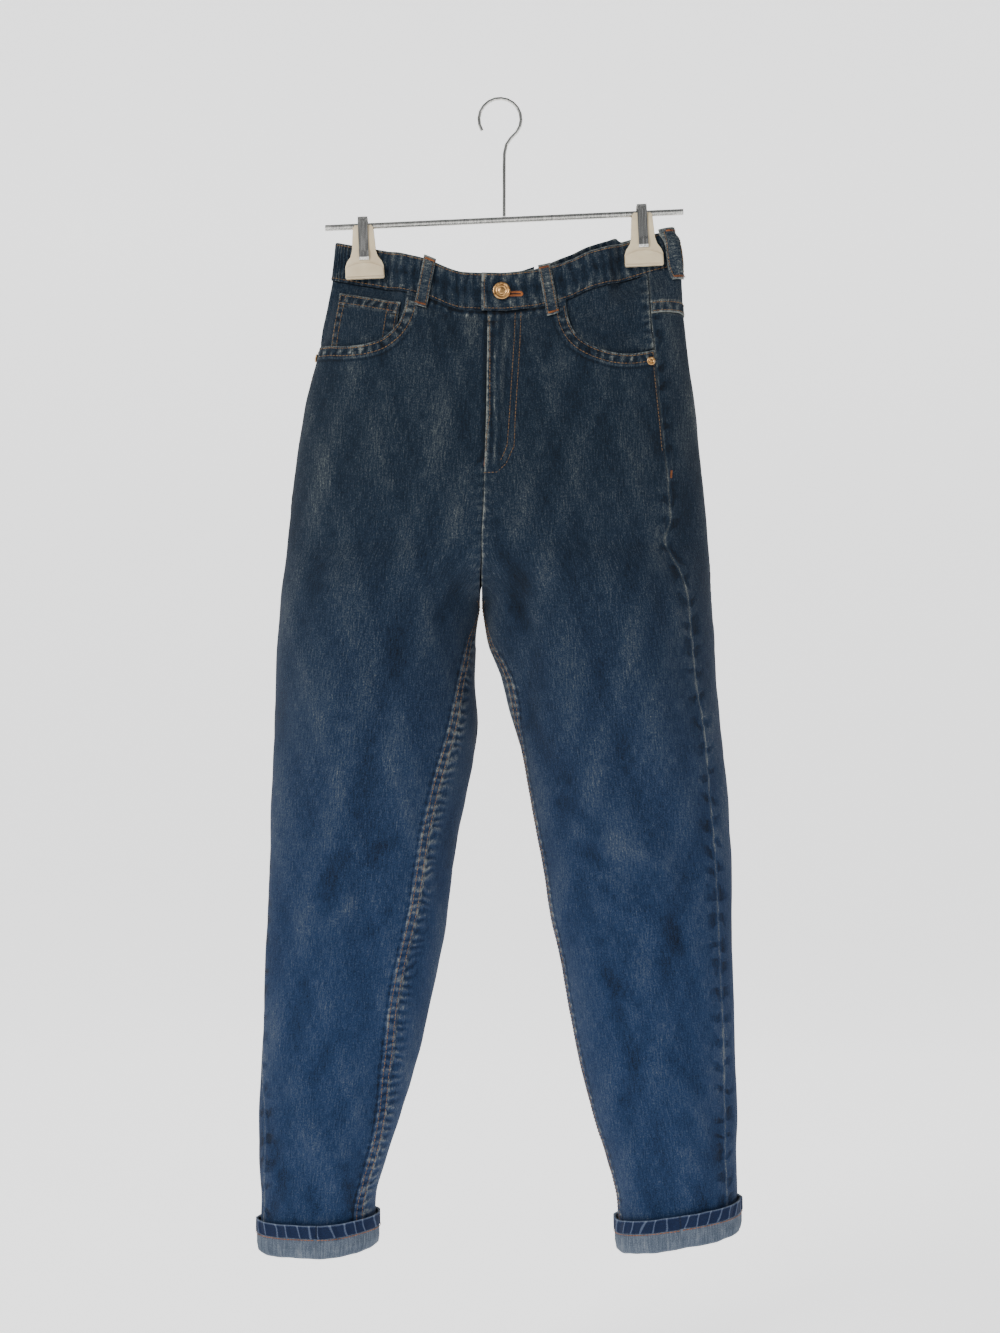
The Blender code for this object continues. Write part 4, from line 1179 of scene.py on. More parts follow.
def profile(low, high, thick, steps):
    """A rounded upright outline: heights and how far in, from the top of the outer face round."""
    r = thick / 2
    bend = np.radians(np.linspace(0.0, 180.0, 7))
    outer = np.linspace(high - r, low + r, steps)
    under = low + r - r * np.sin(bend)[1:-1]
    inward = r - r * np.cos(bend)[1:-1]
    inner = outer[::-1]
    over = high - r + r * np.sin(bend)[1:-1]
    back = r + r * np.cos(bend)[1:-1]
    z = np.concatenate([outer, under, inner, over])
    deep = np.concatenate([np.zeros(steps), inward, np.full(steps, thick), back])
    return z, deep


def waistband():
    z, deep = profile(WAIST_SEAM + GAP, WAIST_TOP, BAND_CLOTH, 18)
    start = angle_at(LEFT, WAIST_MIDDLE, -17.5)
    end = angle_at(RIGHT, WAIST_MIDDLE, 16.0)
    left = np.linspace(start, 180.0, 200)
    right = np.linspace(180.0, end, 190)[1:]
    loops = []
    edge = []
    crease = []
    for side, turns in ((LEFT, left), (RIGHT, right)):
        for turn in turns:
            x, y = section(side, z, np.full(len(z), turn))
            lift = BAND_LIFT + band_lift(side, x, y) - deep
            level = surface(side, WAIST_MIDDLE, turn)
            loops.append(surface(side, z, turn, lift))
            edge.append(near(z - WAIST_TOP, 2.6) + 0.7 * near(z - WAIST_SEAM, 2.2))
            crease.append(np.full(len(z), fold_depth(level[0], level[1], level[2])))
    edge = np.array(edge)
    ends = np.minimum(np.arange(len(loops)), 400)[:, None]
    edge = edge + near(ends, 2.0) * 0.8
    band = near(z - WAIST_TOP + 4.0, 5.0) * 0.8 + near(z - WAIST_SEAM - 4.5, 6.0)
    # Painted shade: the band is darker over the troughs of the folds and lighter over their ridges.
    crease = 2.4 * np.array(crease)
    marks = {"edge": edge, "crease": crease, "rope": np.maximum(band, 0.55)[None, :] + 0 * edge}
    marks["beat"] = 3.0 * np.arange(len(loops))[:, None] * 0.72 + 0 * edge
    # A painted shadow line just above the waist seam, and the band darker along its middle.
    hollow = -0.9 * near(z - WAIST_SEAM - 1.0, 1.3) - 0.6 * near(z + 184.0, 9.0)
    marks["ridge"] = hollow[None, :] + 0 * edge
    thing = tube("waistband_cloth", loops, marks, (denim(),), seed=3)
    declare(thing, ["waistband"])


def belt_loop(place):
    rows = np.linspace(LOOP[0].z, LOOP[-1].z, 44)
    out = at(LOOP, "out", rows) - 0.1
    share = (LOOP[0].z - rows) / (LOOP[0].z - LOOP[-1].z)
    x = place.top_x + (place.bottom_x - place.top_x) * share
    across = np.array([-1.0, -0.92, -0.7, -0.35, 0.0, 0.35, 0.7, 0.92, 1.0])
    puff = np.array([0.35, 0.95, 1.25, 1.0, 0.9, 1.0, 1.25, 0.95, 0.35]) * LOOP_CLOTH
    loops = []
    marks = {"edge": [], "rope": [], "ridge": []}
    for z, px, lift in zip(rows, x, out):
        turn = angle_at(place.side, z, px, place.face)
        spread = degrees_for(place.side, z, LOOP_WIDTH / 2, turn)
        over = surface(place.side, z, turn + spread * across, lift + puff)
        under = surface(place.side, z, turn + spread * across[::-1] * 0.97, lift + 0.1)
        loops.append(np.concatenate([over, under]))
        tip = near(z - rows[0], 2.5) + near(z - rows[-1], 2.5)
        worn = np.clip(np.abs(across) ** 4 + tip, 0.0, 1.0)
        marks["edge"].append(np.concatenate([worn, 0 * worn]))
        marks["rope"].append(np.full(18, 0.3))
        # Painted highlight down the middle of the loop's raised face.
        marks["ridge"].append(np.concatenate([0.6 * (1 - np.abs(across)), 0 * across]))
    thing = tube(place.name + "_cloth", loops, marks, (denim(),), seed=place.top_x / 40.0)
    declare(thing, [place.name])


def pocket_facing(opening):
    low = POCKET_FLOOR if opening.side == RIGHT else POCKET_FLOOR - 10.0
    z = np.linspace(SEAM_EDGE, low, 60)
    heights, angles, deep = pocket_grid(opening, z, np.linspace(0.0, 1.0, 60))
    base = surface(opening.side, heights, angles, -deep)
    gap = lengths(base)
    gap = gap[:, -1:] - gap
    x, z = base[..., 0], base[..., 2]
    crumple = np.zeros_like(deep)
    for fold in FACING_FOLDS:
        run = np.array([fold.x2 - fold.x1, fold.z2 - fold.z1], float)
        share = np.clip(((x - fold.x1) * run[0] + (z - fold.z1) * run[1]) / (run @ run), 0.0, 1.0)
        away = np.hypot(x - fold.x1 - share * run[0], z - fold.z1 - share * run[1])
        crumple = crumple + fold.depth * np.exp(-((away / fold.width) ** 2))
    flush = smooth((gap - 1.0) / 8.0)
    flush = np.maximum(flush, smooth((WAIST_SEAM - opening.depth + 6.0 - heights) / 6.0))
    grid = surface(opening.side, heights, angles, -(deep - 0.3) * flush - 0.3 - crumple)
    # Painted shade in the troughs of the crumples, and a painted highlight along the facing's edge
    # at the side seam.
    marks = {"crease": crumple * 5.0, "ridge": near(gap - 1.0, 2.0), "beat": heights}
    marks["rope"] = 0.8 * near(gap - 4.0, 6.0)
    across = grain(opening.side, heights, angles)
    seed = opening.side + 14.0
    thing = cloth("facing_" + opening.name, opening.side, grid, across, heights, seed, marks, 1.0)
    declare(thing, ["pocket_facing_" + opening.name])


def coin_pocket():
    opening = OPENINGS[0]
    z = np.linspace(COIN_ROWS[0], COIN_ROWS[-1], 44)
    part = np.linspace(COIN_PARTS[0], COIN_PARTS[-1], 44)
    heights, angles, deep = pocket_grid(opening, z, part)
    hem = smooth((heights + 225.6) / 1.2)
    grid = surface(RIGHT, heights, angles, GAP - deep + 1.0 + 0.5 * hem)
    gap = lengths(grid)
    side_edge = near(gap, 2.2) + near(gap[:, -1:] - gap, 2.2)
    edge = near(heights - COIN_ROWS[0], 2.6) + 0.6 * side_edge
    marks = {"edge": edge + 0.5 * near(heights + 225.0, 2.0)}
    side_band = np.maximum(near(gap - 5.0, 6.5), near(gap[:, -1:] - gap - 4.0, 6.0))
    top_band = near(heights - COIN_ROWS[0] + 5.4, 7.0)
    marks["rope"] = 1.3 * np.maximum(top_band, 0.8 * side_band)
    marks["beat"] = np.where(heights > COIN_ROWS[0] - 12.0, gap, heights)
    across = grain(RIGHT, heights, angles)
    thing = cloth("coin_pocket_cloth", RIGHT, grid, across, heights, 17.0, marks, 1.0)
    declare(thing, ["coin_pocket"])


def patch_layout(side, across, down):
    """Heights and angles of a back pocket: five corners, the lowest in the middle."""
    middle = at(MIDDLE, "back_x", -360.0) + side * 94.0
    z = LEVEL_ROWS - down * (152.0 - 26.0 * np.abs(across)) + 4.0 * across * side
    x = middle + across * (69.0 - 9.0 * down) * side - 6.0 * down * side
    return z, angle_at(side, z, x, "back")


def back_pocket(side):
    across, down = np.meshgrid(np.linspace(1.0, -1.0, 61), np.linspace(0.0, 1.0, 66))
    heights, angles = patch_layout(side, across, down)
    rim = np.minimum(PATCH_HALF * (1.0 - np.abs(across)), PATCH_TALL * (1.0 - down))
    hem = smooth((0.097 - down) / 0.01)
    lift = 0.25 + CLOTH + 0.6 * hem + 0.25 * near(rim, 3.0)
    grid = surface(side, heights, angles, lift)
    x, y = section(side, heights, angles)
    edge = near(rim, 2.6) + near(down * PATCH_TALL, 2.6)
    marks = {"crease": crease_mark(x, y, grid[..., 2]), "edge": edge}
    # Painted highlight along the lower edge of the pocket's hem.
    marks["ridge"] = 0.7 * near(down * PATCH_TALL - 14.6, 2.0)
    marks["rope"] = np.maximum(near(down * PATCH_TALL - 7.5, 8.0), near(rim - 5.0, 6.5))
    low = (rim > PATCH_HALF * (1.0 - np.abs(across)) - 0.01) & (down * PATCH_TALL > 15.0)
    marks["beat"] = np.where(low, heights, across * PATCH_HALF)
    sheet = grain(side, heights, angles)
    thing = cloth("pocket_patch_" + word(side), side, grid, sheet, heights, side + 20.0, marks)
    declare(thing, ["back_pocket_" + word(side)])


def cuff(side):
    out = np.array([row.out for row in CUFF])
    z = np.array([row.z for row in CUFF])
    closed_out = np.append(out, out[0])
    closed_z = np.append(z, z[0])
    run = np.concatenate([[0.0], np.cumsum(np.hypot(np.diff(closed_out), np.diff(closed_z)))])
    fine = np.unique(np.concatenate([np.linspace(0.0, run[-1], 74)[:-1], run[:-1]]))
    out = np.interp(fine, run, closed_out)
    z = np.interp(fine, run, closed_z)
    turns = np.linspace(0.0, 360.0, 241)[:-1]
    loops = []
    for turn in turns:
        bend = math.radians(turn)
        wave = math.sin(bend * 7.0 + 1.3 * side) + 0.6 * math.sin(bend * 17.0)
        sway = 0.35 * wave * smooth((z + 1094.0) / 12.0) * (out > 1.9)
        loops.append(surface(side, z + 0.25 * wave, turn, out + sway))
    band = {k for k in range(len(fine)) if z[k] > -1072.2 and out[k] > 3.2}
    looks = (denim_inside(), hem_band())

    def look_of(k):
        return int(k in band)

    rim = near(z + 1060.0, 1.8)
    marks = {"edge": np.repeat(rim[None, :], len(turns), axis=0)}
    name = "cuff_cloth_" + word(side)
    thing = tube(name, loops, marks, looks, seed=5 + side, round_path=True, face_look=look_of)
    declare(thing, ["cuff_" + word(side)])


def back_threads():
    tan = []
    rust = []
    part, _ = back_layout(LEFT, BACK_COLUMNS, np.array([WAIST_SEAM]))
    for side in (RIGHT, LEFT):
        low = yoke_seam(part)
        for rise in (2.0, 10.0):
            z = low + rise
            ends = [back_angles(side, height, 2) for height in z]
            turn = np.array([e[0] + (e[1] - e[0]) * p for e, p in zip(ends, part)])
            tan.append(path(side, z, turn, SEAM_LIFT))
        for inset in (2.0, 8.0):
            rim = patch_rim(inset)
            z, turn = patch_layout(side, *rim)
            tan.append(path(side, z, turn, 0.3 + CLOTH))
        for drop in (2.2, 13.0):
            down = np.full(60, drop / PATCH_TALL)
            z, turn = patch_layout(side, np.linspace(-0.96, 0.96, 60), down)
            tan.append(path(side, z, turn, 0.88 + CLOTH))
        for end in (-0.93, 0.93):
            z, turn = patch_layout(side, np.array([end]), np.array([0.02]))
            x = float(section(side, z, turn)[0][0])
            rust += tack(side, x, float(z[0]), 8.0, 1.0 + CLOTH, "back")
    z = np.arange(-212.0, -478.0, -3.0)
    ends = np.array([back_angles(LEFT, height, 2) for height in z])
    for inset in (2.0, 8.0):
        turn = np.array([e[1] - degrees_for(LEFT, h, inset, e[1]) for e, h in zip(ends, z)])
        tan.append(path(LEFT, z, turn, 0.66))
    threads("back_topstitching", tan, tan_thread())
    threads("back_bar_tacks", rust, rust_thread(), 2.1, 2.1, 0.3)


def patch_rim(inset):
    """The sides and the pointed bottom of a back pocket, this far in from its edge."""
    side = 1.0 - inset / 66.0
    low = (PATCH_TALL - inset) / PATCH_TALL
    down = np.linspace(0.02, low, 60)
    across = np.linspace(-side, side, 60)
    rows = [np.full(60, -side), across[1:-1], np.full(60, side)]
    return np.concatenate(rows), np.concatenate([down, np.full(58, low), down[::-1]])


def waist_threads():
    tan = []
    rust = []
    for z in (WAIST_TOP - 2.4, WAIST_SEAM + 2.6):
        for side, first_x in ((LEFT, -17.0), (RIGHT, 14.0)):
            turn = np.linspace(angle_at(side, WAIST_MIDDLE, first_x), 180.0, 240)
            x, y = section(side, z, turn)
            tan.append(path(side, z, turn, BAND_LIFT + band_lift(side, x, y) + 0.02))
    z = np.linspace(WAIST_TOP - 2.4, WAIST_SEAM + 2.6, 20)
    turn = angle_at(LEFT, z, -14.8)
    x, y = section(LEFT, z, turn)
    tan.append(path(LEFT, z, turn, BAND_LIFT + band_lift(LEFT, x, y) + 0.02))
    for place in LOOPS:
        rows = np.linspace(-165.0, -212.5, 40)
        share = (LOOP[0].z - rows) / (LOOP[0].z - LOOP[-1].z)
        x = place.top_x + (place.bottom_x - place.top_x) * share
        out = at(LOOP, "out", rows) + 1.2 * LOOP_CLOTH
        turn = angle_at(place.side, rows, x, place.face)
        spread = degrees_for(place.side, rows, LOOP_WIDTH / 2, turn)
        for edge in (-0.7, 0.7):
            tan.append(path(place.side, rows, turn + spread * edge, out))
        rust += tack(place.side, place.top_x, -166.0, 9.0, 1.4 + LOOP_CLOTH, place.face)
        rust += tack(place.side, place.bottom_x, -211.0, 9.5, 1.25 + LOOP_CLOTH, place.face)
    threads("waist_topstitching", tan, tan_thread())
    threads("waist_bar_tacks", rust, rust_thread(), 2.1, 2.1, 0.3)
    buttonhole()


def buttonhole():
    """Close rust stitches round the slot, on the overlapping end of the waistband."""
    paths = []
    for x in np.arange(3.0, 19.6, 0.62):
        for way in (-1.0, 1.0):
            ends = np.array([0.35, 1.5, 2.7]) * way
            level, turn = spot(LEFT, np.full(3, x), BUTTON_Z + ends)
            paths.append(path(LEFT, level, turn, hole_lift(level, turn)))
    for lean in np.radians(np.arange(-75.0, 76.0, 15.0)):
        reach = np.array([0.4, 1.5, 2.8])
        x = 19.3 + reach * math.cos(lean)
        level, turn = spot(LEFT, x, BUTTON_Z + reach * math.sin(lean))
        paths.append(path(LEFT, level, turn, hole_lift(level, turn)))
    threads("buttonhole", paths, rust_thread(), 2.2, 2.3, 0.34)


def hole_lift(level, turn):
    x, y = section(LEFT, level, turn)
    return BAND_LIFT + band_lift(LEFT, x, y) + 0.05


def pocket_threads():
    tan = []
    rust = []
    opening = OPENINGS[0]
    part = np.linspace(COIN_PARTS[0], COIN_PARTS[-1], 40)
    for drop in (2.0, 9.6):
        z = np.full(2, COIN_ROWS[0] - drop)
        tan.append(coin_path(opening, z[:1], part[1:-1], 1.5))
    z = np.linspace(COIN_ROWS[0] - 1.0, COIN_ROWS[-1], 40)
    for edge in (0.035, 0.15, 0.965, 0.85):
        here = COIN_PARTS[0] + (COIN_PARTS[-1] - COIN_PARTS[0]) * edge
        tan.append(coin_path(opening, z, np.array([here]), 1.25))
    for edge in (0.085, 0.915):
        here = COIN_PARTS[0] + (COIN_PARTS[-1] - COIN_PARTS[0]) * edge
        middle = np.array([COIN_ROWS[0] - 5.6])
        heights, angles, deep = pocket_grid(opening, middle, np.array([here]))
        lift = 1.6 + GAP - float(deep.ravel()[0])
        x = float(section(RIGHT, heights, angles)[0].ravel()[0])
        z = float(heights.ravel()[0])
        ends = ((0.0, 3.9, 0.0), (0.0, -3.9, 0.0), (3.9, 0.0, 1.57), (-3.9, 0.0, 1.57))
        for right, up, lean in ends:
            rust += tack(RIGHT, x + right, z + up, 8.6, lift, lean=lean, tall=1.7)
    threads("pocket_topstitching", tan, tan_thread())
    threads("pocket_bar_tacks", rust, rust_thread(), 2.1, 2.1, 0.32)


def coin_path(opening, z, part, lift):
    heights, angles, deep = pocket_grid(opening, z, part)
    points = surface(RIGHT, heights, angles, lift + GAP - deep)
    return points.reshape(-1, 3), outward(RIGHT, heights, angles).reshape(-1, 3)


def cuff_threads():
    rust = []
    for side in (RIGHT, LEFT):
        turn = np.linspace(0.0, 360.0, 400)
        z = np.full(400, -1073.4)
        rust.append(path(side, z, turn, CUFF_OUT + 0.1))
    threads("cuff_topstitching", rust, rust_thread(), 3.3, 2.8, 0.36)


class JeansSettings(bpy.types.PropertyGroup):
    """The colours and sizes that a user would change."""

    upper_denim: bpy.props.FloatVectorProperty(
        name="Upper denim",
        description="Colour of the cloth at the hips",
        subtype="COLOR",
        min=0.0,
        max=1.0,
        default=linear(17, 32, 47),
    )
    lower_denim: bpy.props.FloatVectorProperty(
        name="Lower denim",
        description="Colour of the cloth at the shins",
        subtype="COLOR",
        min=0.0,
        max=1.0,
        default=linear(24, 46, 78),
    )
    camera_distance: bpy.props.FloatProperty(
        name="Camera distance",
        description="From the camera to the middle plane of the garment",
        subtype="DISTANCE",
        unit="LENGTH",
        default=2.3,
    )

    def tones(self, which):
        """Stops from the darkest hollow to the palest thread."""
        middle = np.array(self.upper_denim if which == "upper" else self.lower_denim)
        pale = np.array(linear(134, 138, 132))
        dark = tuple(middle * 0.2)
        light = tuple(middle * 0.3 + pale * 0.7)
        worn = tuple(middle * 0.8 + pale * 0.16)
        return (0.1, dark), (0.5, tuple(middle)), (0.78, worn), (1.0, light)


class JEANS_OT_panels(bpy.types.Operator):
    """Make the two front panels, two back panels and two yokes"""

    bl_idname = "jeans.panels"
    bl_label = "Panels"

    def execute(self, context):
        for side in (RIGHT, LEFT):
            front_panel(side)
            back_panel(side)
            yoke(side)
        return {"FINISHED"}


class JEANS_OT_waist(bpy.types.Operator):
    """Make the waistband and its belt loops"""

    bl_idname = "jeans.waist"
    bl_label = "Waistband and loops"

    def execute(self, context):
        waistband()
        for place in LOOPS:
            belt_loop(place)
        return {"FINISHED"}


class JEANS_OT_pockets(bpy.types.Operator):
    """Make the pocket facings, the coin pocket and the back pockets"""

    bl_idname = "jeans.pockets"
    bl_label = "Pockets"

    def execute(self, context):
        for opening in OPENINGS:
            pocket_facing(opening)
        coin_pocket()
        for side in (RIGHT, LEFT):
            back_pocket(side)
        return {"FINISHED"}


class JEANS_OT_cuffs(bpy.types.Operator):
    """Make the turned-up cuffs"""

    bl_idname = "jeans.cuffs"
    bl_label = "Cuffs"

    def execute(self, context):
        cuff(RIGHT)
        cuff(LEFT)
        return {"FINISHED"}


class JEANS_OT_stitching(bpy.types.Operator):
    """Sew the topstitching, the bar tacks and the buttonhole"""

    bl_idname = "jeans.stitching"
    bl_label = "Stitching"

    def execute(self, context):
        front_threads()
        back_threads()
        waist_threads()
        pocket_threads()
        cuff_threads()
        return {"FINISHED"}


def in_edit(thing):
    activate(thing)
    bpy.ops.object.mode_set(mode="EDIT")


def pick_faces(thing, test):
    """Select only the faces that pass the test."""
    bpy.ops.mesh.select_all(action="DESELECT")
    bpy.ops.object.mode_set(mode="OBJECT")
    for face in thing.data.polygons:
        face.select = bool(test(face))
    bpy.ops.object.mode_set(mode="EDIT")
    bpy.ops.mesh.select_mode(type="FACE")


def settle(thing, nodes, look):
    """Leave a finished piece at the origin, in place of its solids."""
    bpy.ops.object.mode_set(mode="OBJECT")
    activate(thing)
    bpy.ops.object.transform_apply(location=True, rotation=True, scale=True)
    thing.data.materials.clear()
    thing.data.materials.append(look)
    bpy.ops.object.shade_smooth_by_angle(angle=math.radians(40.0))
    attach(thing, "root")
    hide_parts(*nodes)


def turned_piece(node, place, way, radius, depth, steps):
    """A round brass piece: a disc, its face inset in rings that rise and sink."""
    bpy.ops.object.select_all(action="DESELECT")
    bpy.ops.mesh.primitive_cylinder_add(vertices=64, radius=radius, depth=depth)
    thing = bpy.context.active_object
    thing.name = node + "_turned"
    in_edit(thing)
    pick_faces(thing, lambda face: face.normal.z > 0.9)
    for inset, rise in steps:
        bpy.ops.mesh.inset(thickness=inset, depth=rise)
    bpy.ops.object.mode_set(mode="OBJECT")
    thing.location = Vector(place) + Vector(way) * depth / 2
    thing.rotation_euler = Vector(way).to_track_quat("Z", "Y").to_euler()
    soften = thing.modifiers.new("soften", "BEVEL")
    soften.width = 0.0002
    soften.segments = 2
    apply_modifiers(thing)
    settle(thing, [node], brass())


def waist_button():
    level, turn = -184.0, angle_at(LEFT, -184.0, 1.5)
    base = surface(LEFT, level, turn, BAND_LIFT + BAND_CLOTH + GAP + 0.6) * MM
    way = outward(LEFT, level, turn)
    steps = [(0.00035, 0.0004), (0.0006, 0.0003), (0.0009, -0.0001), (0.0004, -0.0007)]
    steps += [(0.0010, 0.0), (0.0003, 0.0003), (0.0004, 0.0), (0.0003, -0.0003)]
    steps += [(0.0009, 0.0), (0.0005, 0.0004), (0.0007, 0.0002)]
    turned_piece("button", base, way, 0.0084, 0.0021, steps)


def pocket_rivet(opening):
    side = opening.side
    level = WAIST_SEAM - opening.depth - 7.5
    turn = at(SEAMS, word(side) + "_side", level)
    turn = turn - degrees_for(side, level, 5.5, turn - 6.0)
    base = surface(side, level, turn, 0.45) * MM
    steps = [(0.0003, 0.0003), (0.0005, 0.0002), (0.0007, -0.0001), (0.0005, -0.0005)]
    steps += [(0.0006, 0.0), (0.0002, 0.0007), (0.0004, 0.0001)]
    turned_piece("rivet_" + opening.name, base, outward(side, level, turn), 0.004, 0.0009, steps)


def clip_jaw(clip, face):
    """A moulded jaw: a block drawn down row by row, then bevelled, with a raised arched pad."""
    sign = -1.0 if face == "front" else 1.0
    top = JAW_SHAPE[0]
    bpy.ops.object.select_all(action="DESELECT")
    bpy.ops.mesh.primitive_cube_add(size=1.0, location=(0.0, 0.0, -top.down * MM))
    thing = bpy.context.active_object
    thing.name = "clip_" + face + "_moulding_" + clip.name
    in_edit(thing)
    bpy.ops.mesh.select_all(action="SELECT")
    size = (2 * top.half_width * MM, top.thick * MM, 0.0006)
    bpy.ops.transform.resize(value=size)
    middle = sign * (JAW_INNER + top.thick / 2) * MM
    bpy.ops.transform.translate(value=(0.0, middle, 0.0))
    pick_faces(thing, lambda face: face.normal.z < -0.9)
    last = top
    for row in JAW_SHAPE[1:]:
        away = sign * (row.thick - last.thick) / 2 * MM
        step = (0.0, away, -(row.down - last.down) * MM)
        bpy.ops.mesh.extrude_region_move(TRANSFORM_OT_translate={"value": step})
        grow = (row.half_width / last.half_width, row.thick / last.thick, 1.0)
        centre = (0.0, sign * (JAW_INNER + row.thick / 2) * MM, -row.down * MM)
        bpy.ops.transform.resize(value=grow, center_override=centre)
        last = row
    bpy.ops.object.mode_set(mode="OBJECT")
    soften = thing.modifiers.new("soften", "BEVEL")
    soften.width = 0.0011
    soften.segments = 4
    soften.limit_method = "ANGLE"
    soften.angle_limit = math.radians(35.0)
    apply_modifiers(thing)
    raised_pad(thing, sign)
    thing.location = (clip.x * MM, 0.0, clip.z * MM)
    thing.rotation_euler = (0.0, -HANGER_TILT, 0.0)
    settle(thing, ["clip_" + face + "_jaw_" + clip.name], hanger_plastic())


def raised_pad(thing, sign):
    """The arched pad at a jaw's foot: a disc cut down to the pad's outline and let into the jaw."""
    bpy.ops.object.select_all(action="DESELECT")
    bpy.ops.mesh.primitive_cylinder_add(
        vertices=96,
        radius=0.034,
        depth=0.0016,
        location=(0.0, sign * (JAW_INNER + 6.1) * MM, -0.0665),
        rotation=(math.radians(90.0), 0.0, 0.0),
    )
    pad = bpy.context.active_object
    bpy.ops.object.transform_apply(location=True, rotation=True, scale=True)
    in_edit(pad)
    cuts = (((0.0, 0.0, -0.0452), (0.0, 0.0, -1.0)), ((0.0152, 0.0, 0.0), (1.0, 0.0, 0.06)))
    cuts += (((-0.0152, 0.0, 0.0), (-1.0, 0.0, 0.06)),)
    for place, way in cuts:
        bpy.ops.mesh.select_all(action="SELECT")
        bpy.ops.mesh.bisect(plane_co=place, plane_no=way, use_fill=True, clear_outer=True)
    bpy.ops.object.mode_set(mode="OBJECT")
    soften = pad.modifiers.new("soften", "BEVEL")
    soften.width = 0.001
    soften.segments = 3
    soften.limit_method = "ANGLE"
    apply_modifiers(pad)
    bpy.ops.object.select_all(action="DESELECT")
    pad.select_set(True)
    thing.select_set(True)
    bpy.context.view_layer.objects.active = thing
    bpy.ops.object.join()


class JEANS_OT_hardware(bpy.types.Operator):
    """Make the button, the rivets and the clip jaws, and finish the steel"""

    bl_idname = "jeans.hardware"
    bl_label = "Button, rivets and hanger"

    def execute(self, context):
        waist_button()
        for opening in OPENINGS:
            pocket_rivet(opening)
        for clip in CLIPS:
            for face in ("front", "back"):
                clip_jaw(clip, face)
        for name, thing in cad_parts.items():
            if name.startswith(("clip_spring", "hanger")):
                for slot in thing.material_slots:
                    slot.material = steel()
        return {"FINISHED"}


class JEANS_OT_stage(bpy.types.Operator):
    """Set the floor, the lights and the camera"""

    bl_idname = "jeans.stage"
    bl_label = "Stage"

    def execute(self, context):
        set_floor()
        set_lights()
        set_camera(context.scene)
        return {"FINISHED"}


def set_floor():
    """A pale sweep: floor, bend and wall."""
    bpy.ops.object.select_all(action="DESELECT")
    bpy.ops.mesh.primitive_plane_add(size=1.0, location=(0.0, 0.0, -1.32))
    floor = bpy.context.active_object
    floor.name = "floor"
    bpy.ops.object.mode_set(mode="EDIT")
    bpy.ops.mesh.select_all(action="SELECT")
    bpy.ops.transform.resize(value=(16.0, 9.0, 1.0))
    bpy.ops.mesh.select_all(action="DESELECT")
    bpy.ops.object.mode_set(mode="OBJECT")
    for edge in floor.data.edges:
        edge.select = all(floor.data.vertices[v].co.y > 4.0 for v in edge.vertices)
    bpy.ops.object.mode_set(mode="EDIT")
    bpy.ops.mesh.select_mode(type="EDGE")
    bpy.ops.mesh.extrude_region_move(TRANSFORM_OT_translate={"value": (0.0, 0.0, 7.0)})
    bpy.ops.object.mode_set(mode="OBJECT")
    bpy.ops.object.transform_apply(location=True, rotation=True, scale=True)
    bend = floor.modifiers.new("bend", "BEVEL")
    bend.width = 2.0
    bend.segments = 12
    apply_modifiers(floor)
    floor.data.shade_smooth()
    shade = Shade("floor_paint", roughness=0.9)
    mottle = shade.noise(shade.place(), scale=3.0)
    shade.surface(Base_Color=shade.ramp(mottle, (0.3, (0.9, 0.9, 0.9)), (0.7, (0.92, 0.92, 0.92))))
    shade.shader.inputs["Emission Color"].default_value = (1.0, 1.0, 1.0, 1.0)
    shade.shader.inputs["Emission Strength"].default_value = 1.25
    floor.data.materials.append(shade.material)


def area_light(name, place, target, size, power, colour=(1.0, 1.0, 1.0)):
    data = bpy.data.lights.new(name, "AREA")
    data.shape = "RECTANGLE"
    data.size, data.size_y = size
    data.energy = power
    data.color = colour
    light = bpy.data.objects.new(name, data)
    light.location = place
    light.rotation_euler = (Vector(target) - Vector(place)).to_track_quat("-Z", "Y").to_euler()
    bpy.context.scene.collection.objects.link(light)


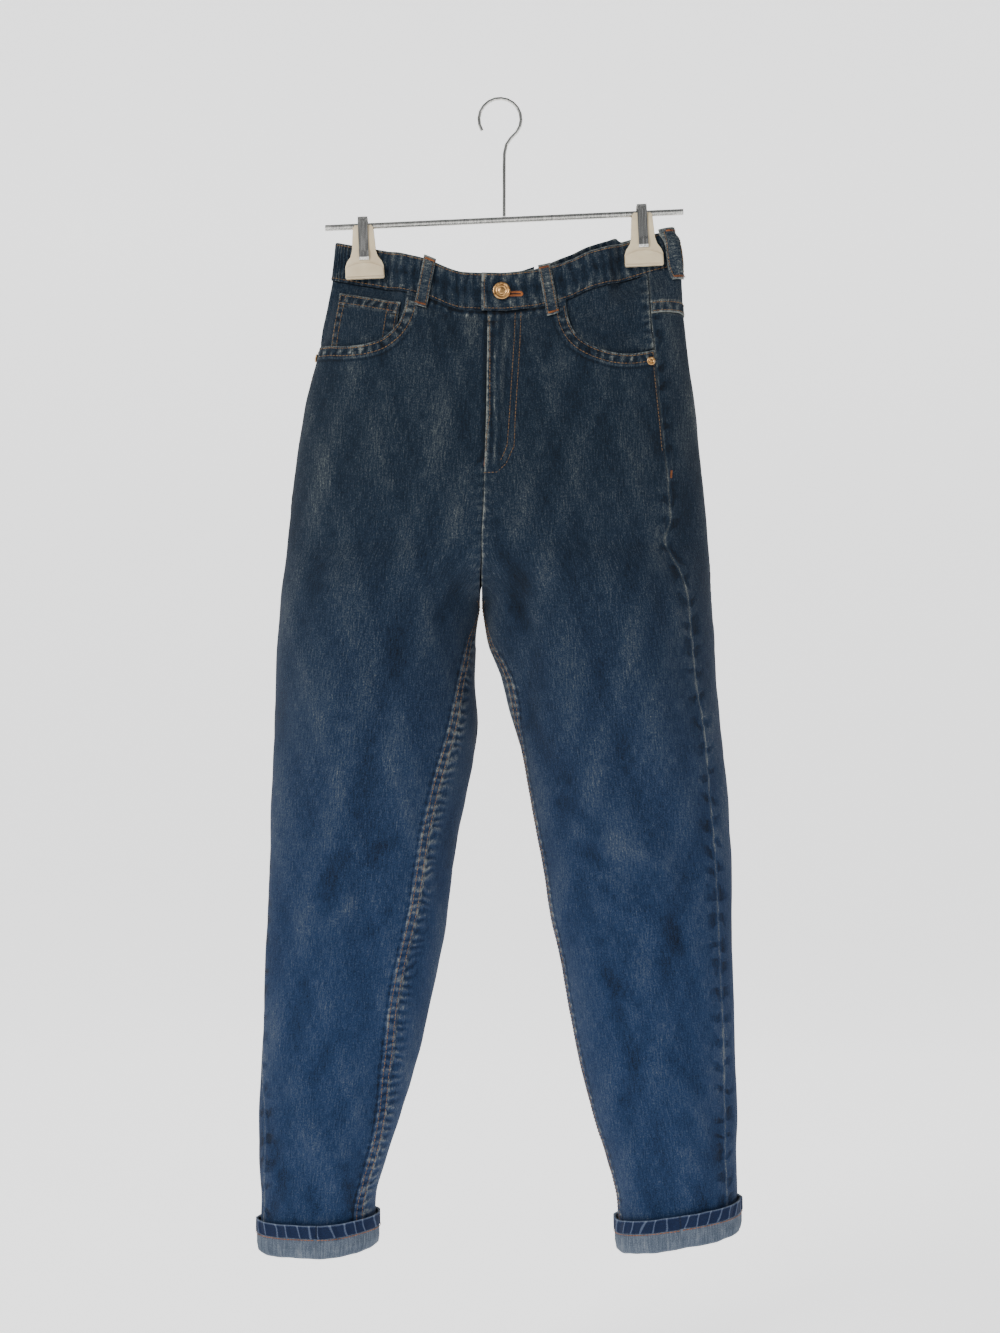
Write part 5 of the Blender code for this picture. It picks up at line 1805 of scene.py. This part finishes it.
def set_lights():
    middle = (0.0, 0.0, -0.6)
    area_light("key_light", (-1.5, -1.9, 1.2), middle, (0.7, 0.7), 72.0, (1.0, 0.98, 0.95))
    area_light("fill_light", (2.0, -1.6, -0.2), middle, (1.6, 1.6), 9.0, (0.95, 0.97, 1.0))
    area_light("back_light", (0.4, 1.9, 0.8), middle, (1.8, 1.4), 14.0)
    world = bpy.data.worlds.new("studio")
    world.use_nodes = True
    world.node_tree.nodes["Background"].inputs["Color"].default_value = (0.93, 0.95, 1.0, 1.0)
    world.node_tree.nodes["Background"].inputs["Strength"].default_value = 0.28
    bpy.context.scene.world = world


def set_camera(scene):
    data = bpy.data.cameras.new("camera")
    data.sensor_width = 36.0
    data.lens = 65.4
    data.clip_start = 0.05
    data.clip_end = 60.0
    camera = bpy.data.objects.new("camera", data)
    camera.location = (0.0, -scene.jeans.camera_distance, -0.538)
    camera.rotation_euler = (math.radians(90.0), 0.0, 0.0)
    scene.collection.objects.link(camera)
    scene.camera = camera


OPERATORS = (
    JEANS_OT_panels,
    JEANS_OT_waist,
    JEANS_OT_pockets,
    JEANS_OT_cuffs,
    JEANS_OT_stitching,
    JEANS_OT_hardware,
    JEANS_OT_stage,
)


class JEANS_PT_pieces(bpy.types.Panel):
    """The pieces of the jeans, in the order in which they are made"""

    bl_label = "Jeans"
    bl_space_type = "VIEW_3D"
    bl_region_type = "UI"
    bl_category = "Jeans"

    def draw(self, context):
        settings = context.scene.jeans
        for key in ("upper_denim", "lower_denim", "camera_distance"):
            self.layout.prop(settings, key)
        for operator in OPERATORS:
            self.layout.operator(operator.bl_idname)


CLASSES = (JeansSettings, *OPERATORS, JEANS_PT_pieces)


def register():
    for item in CLASSES:
        bpy.utils.register_class(item)
    bpy.types.Scene.jeans = bpy.props.PointerProperty(type=JeansSettings)


def unregister():
    del bpy.types.Scene.jeans
    for item in reversed(CLASSES):
        bpy.utils.unregister_class(item)


def main():
    register()
    bpy.ops.jeans.panels()
    bpy.ops.jeans.waist()
    bpy.ops.jeans.pockets()
    bpy.ops.jeans.cuffs()
    bpy.ops.jeans.stitching()
    bpy.ops.jeans.hardware()
    bpy.ops.jeans.stage()


if __name__ == "__main__":
    main()
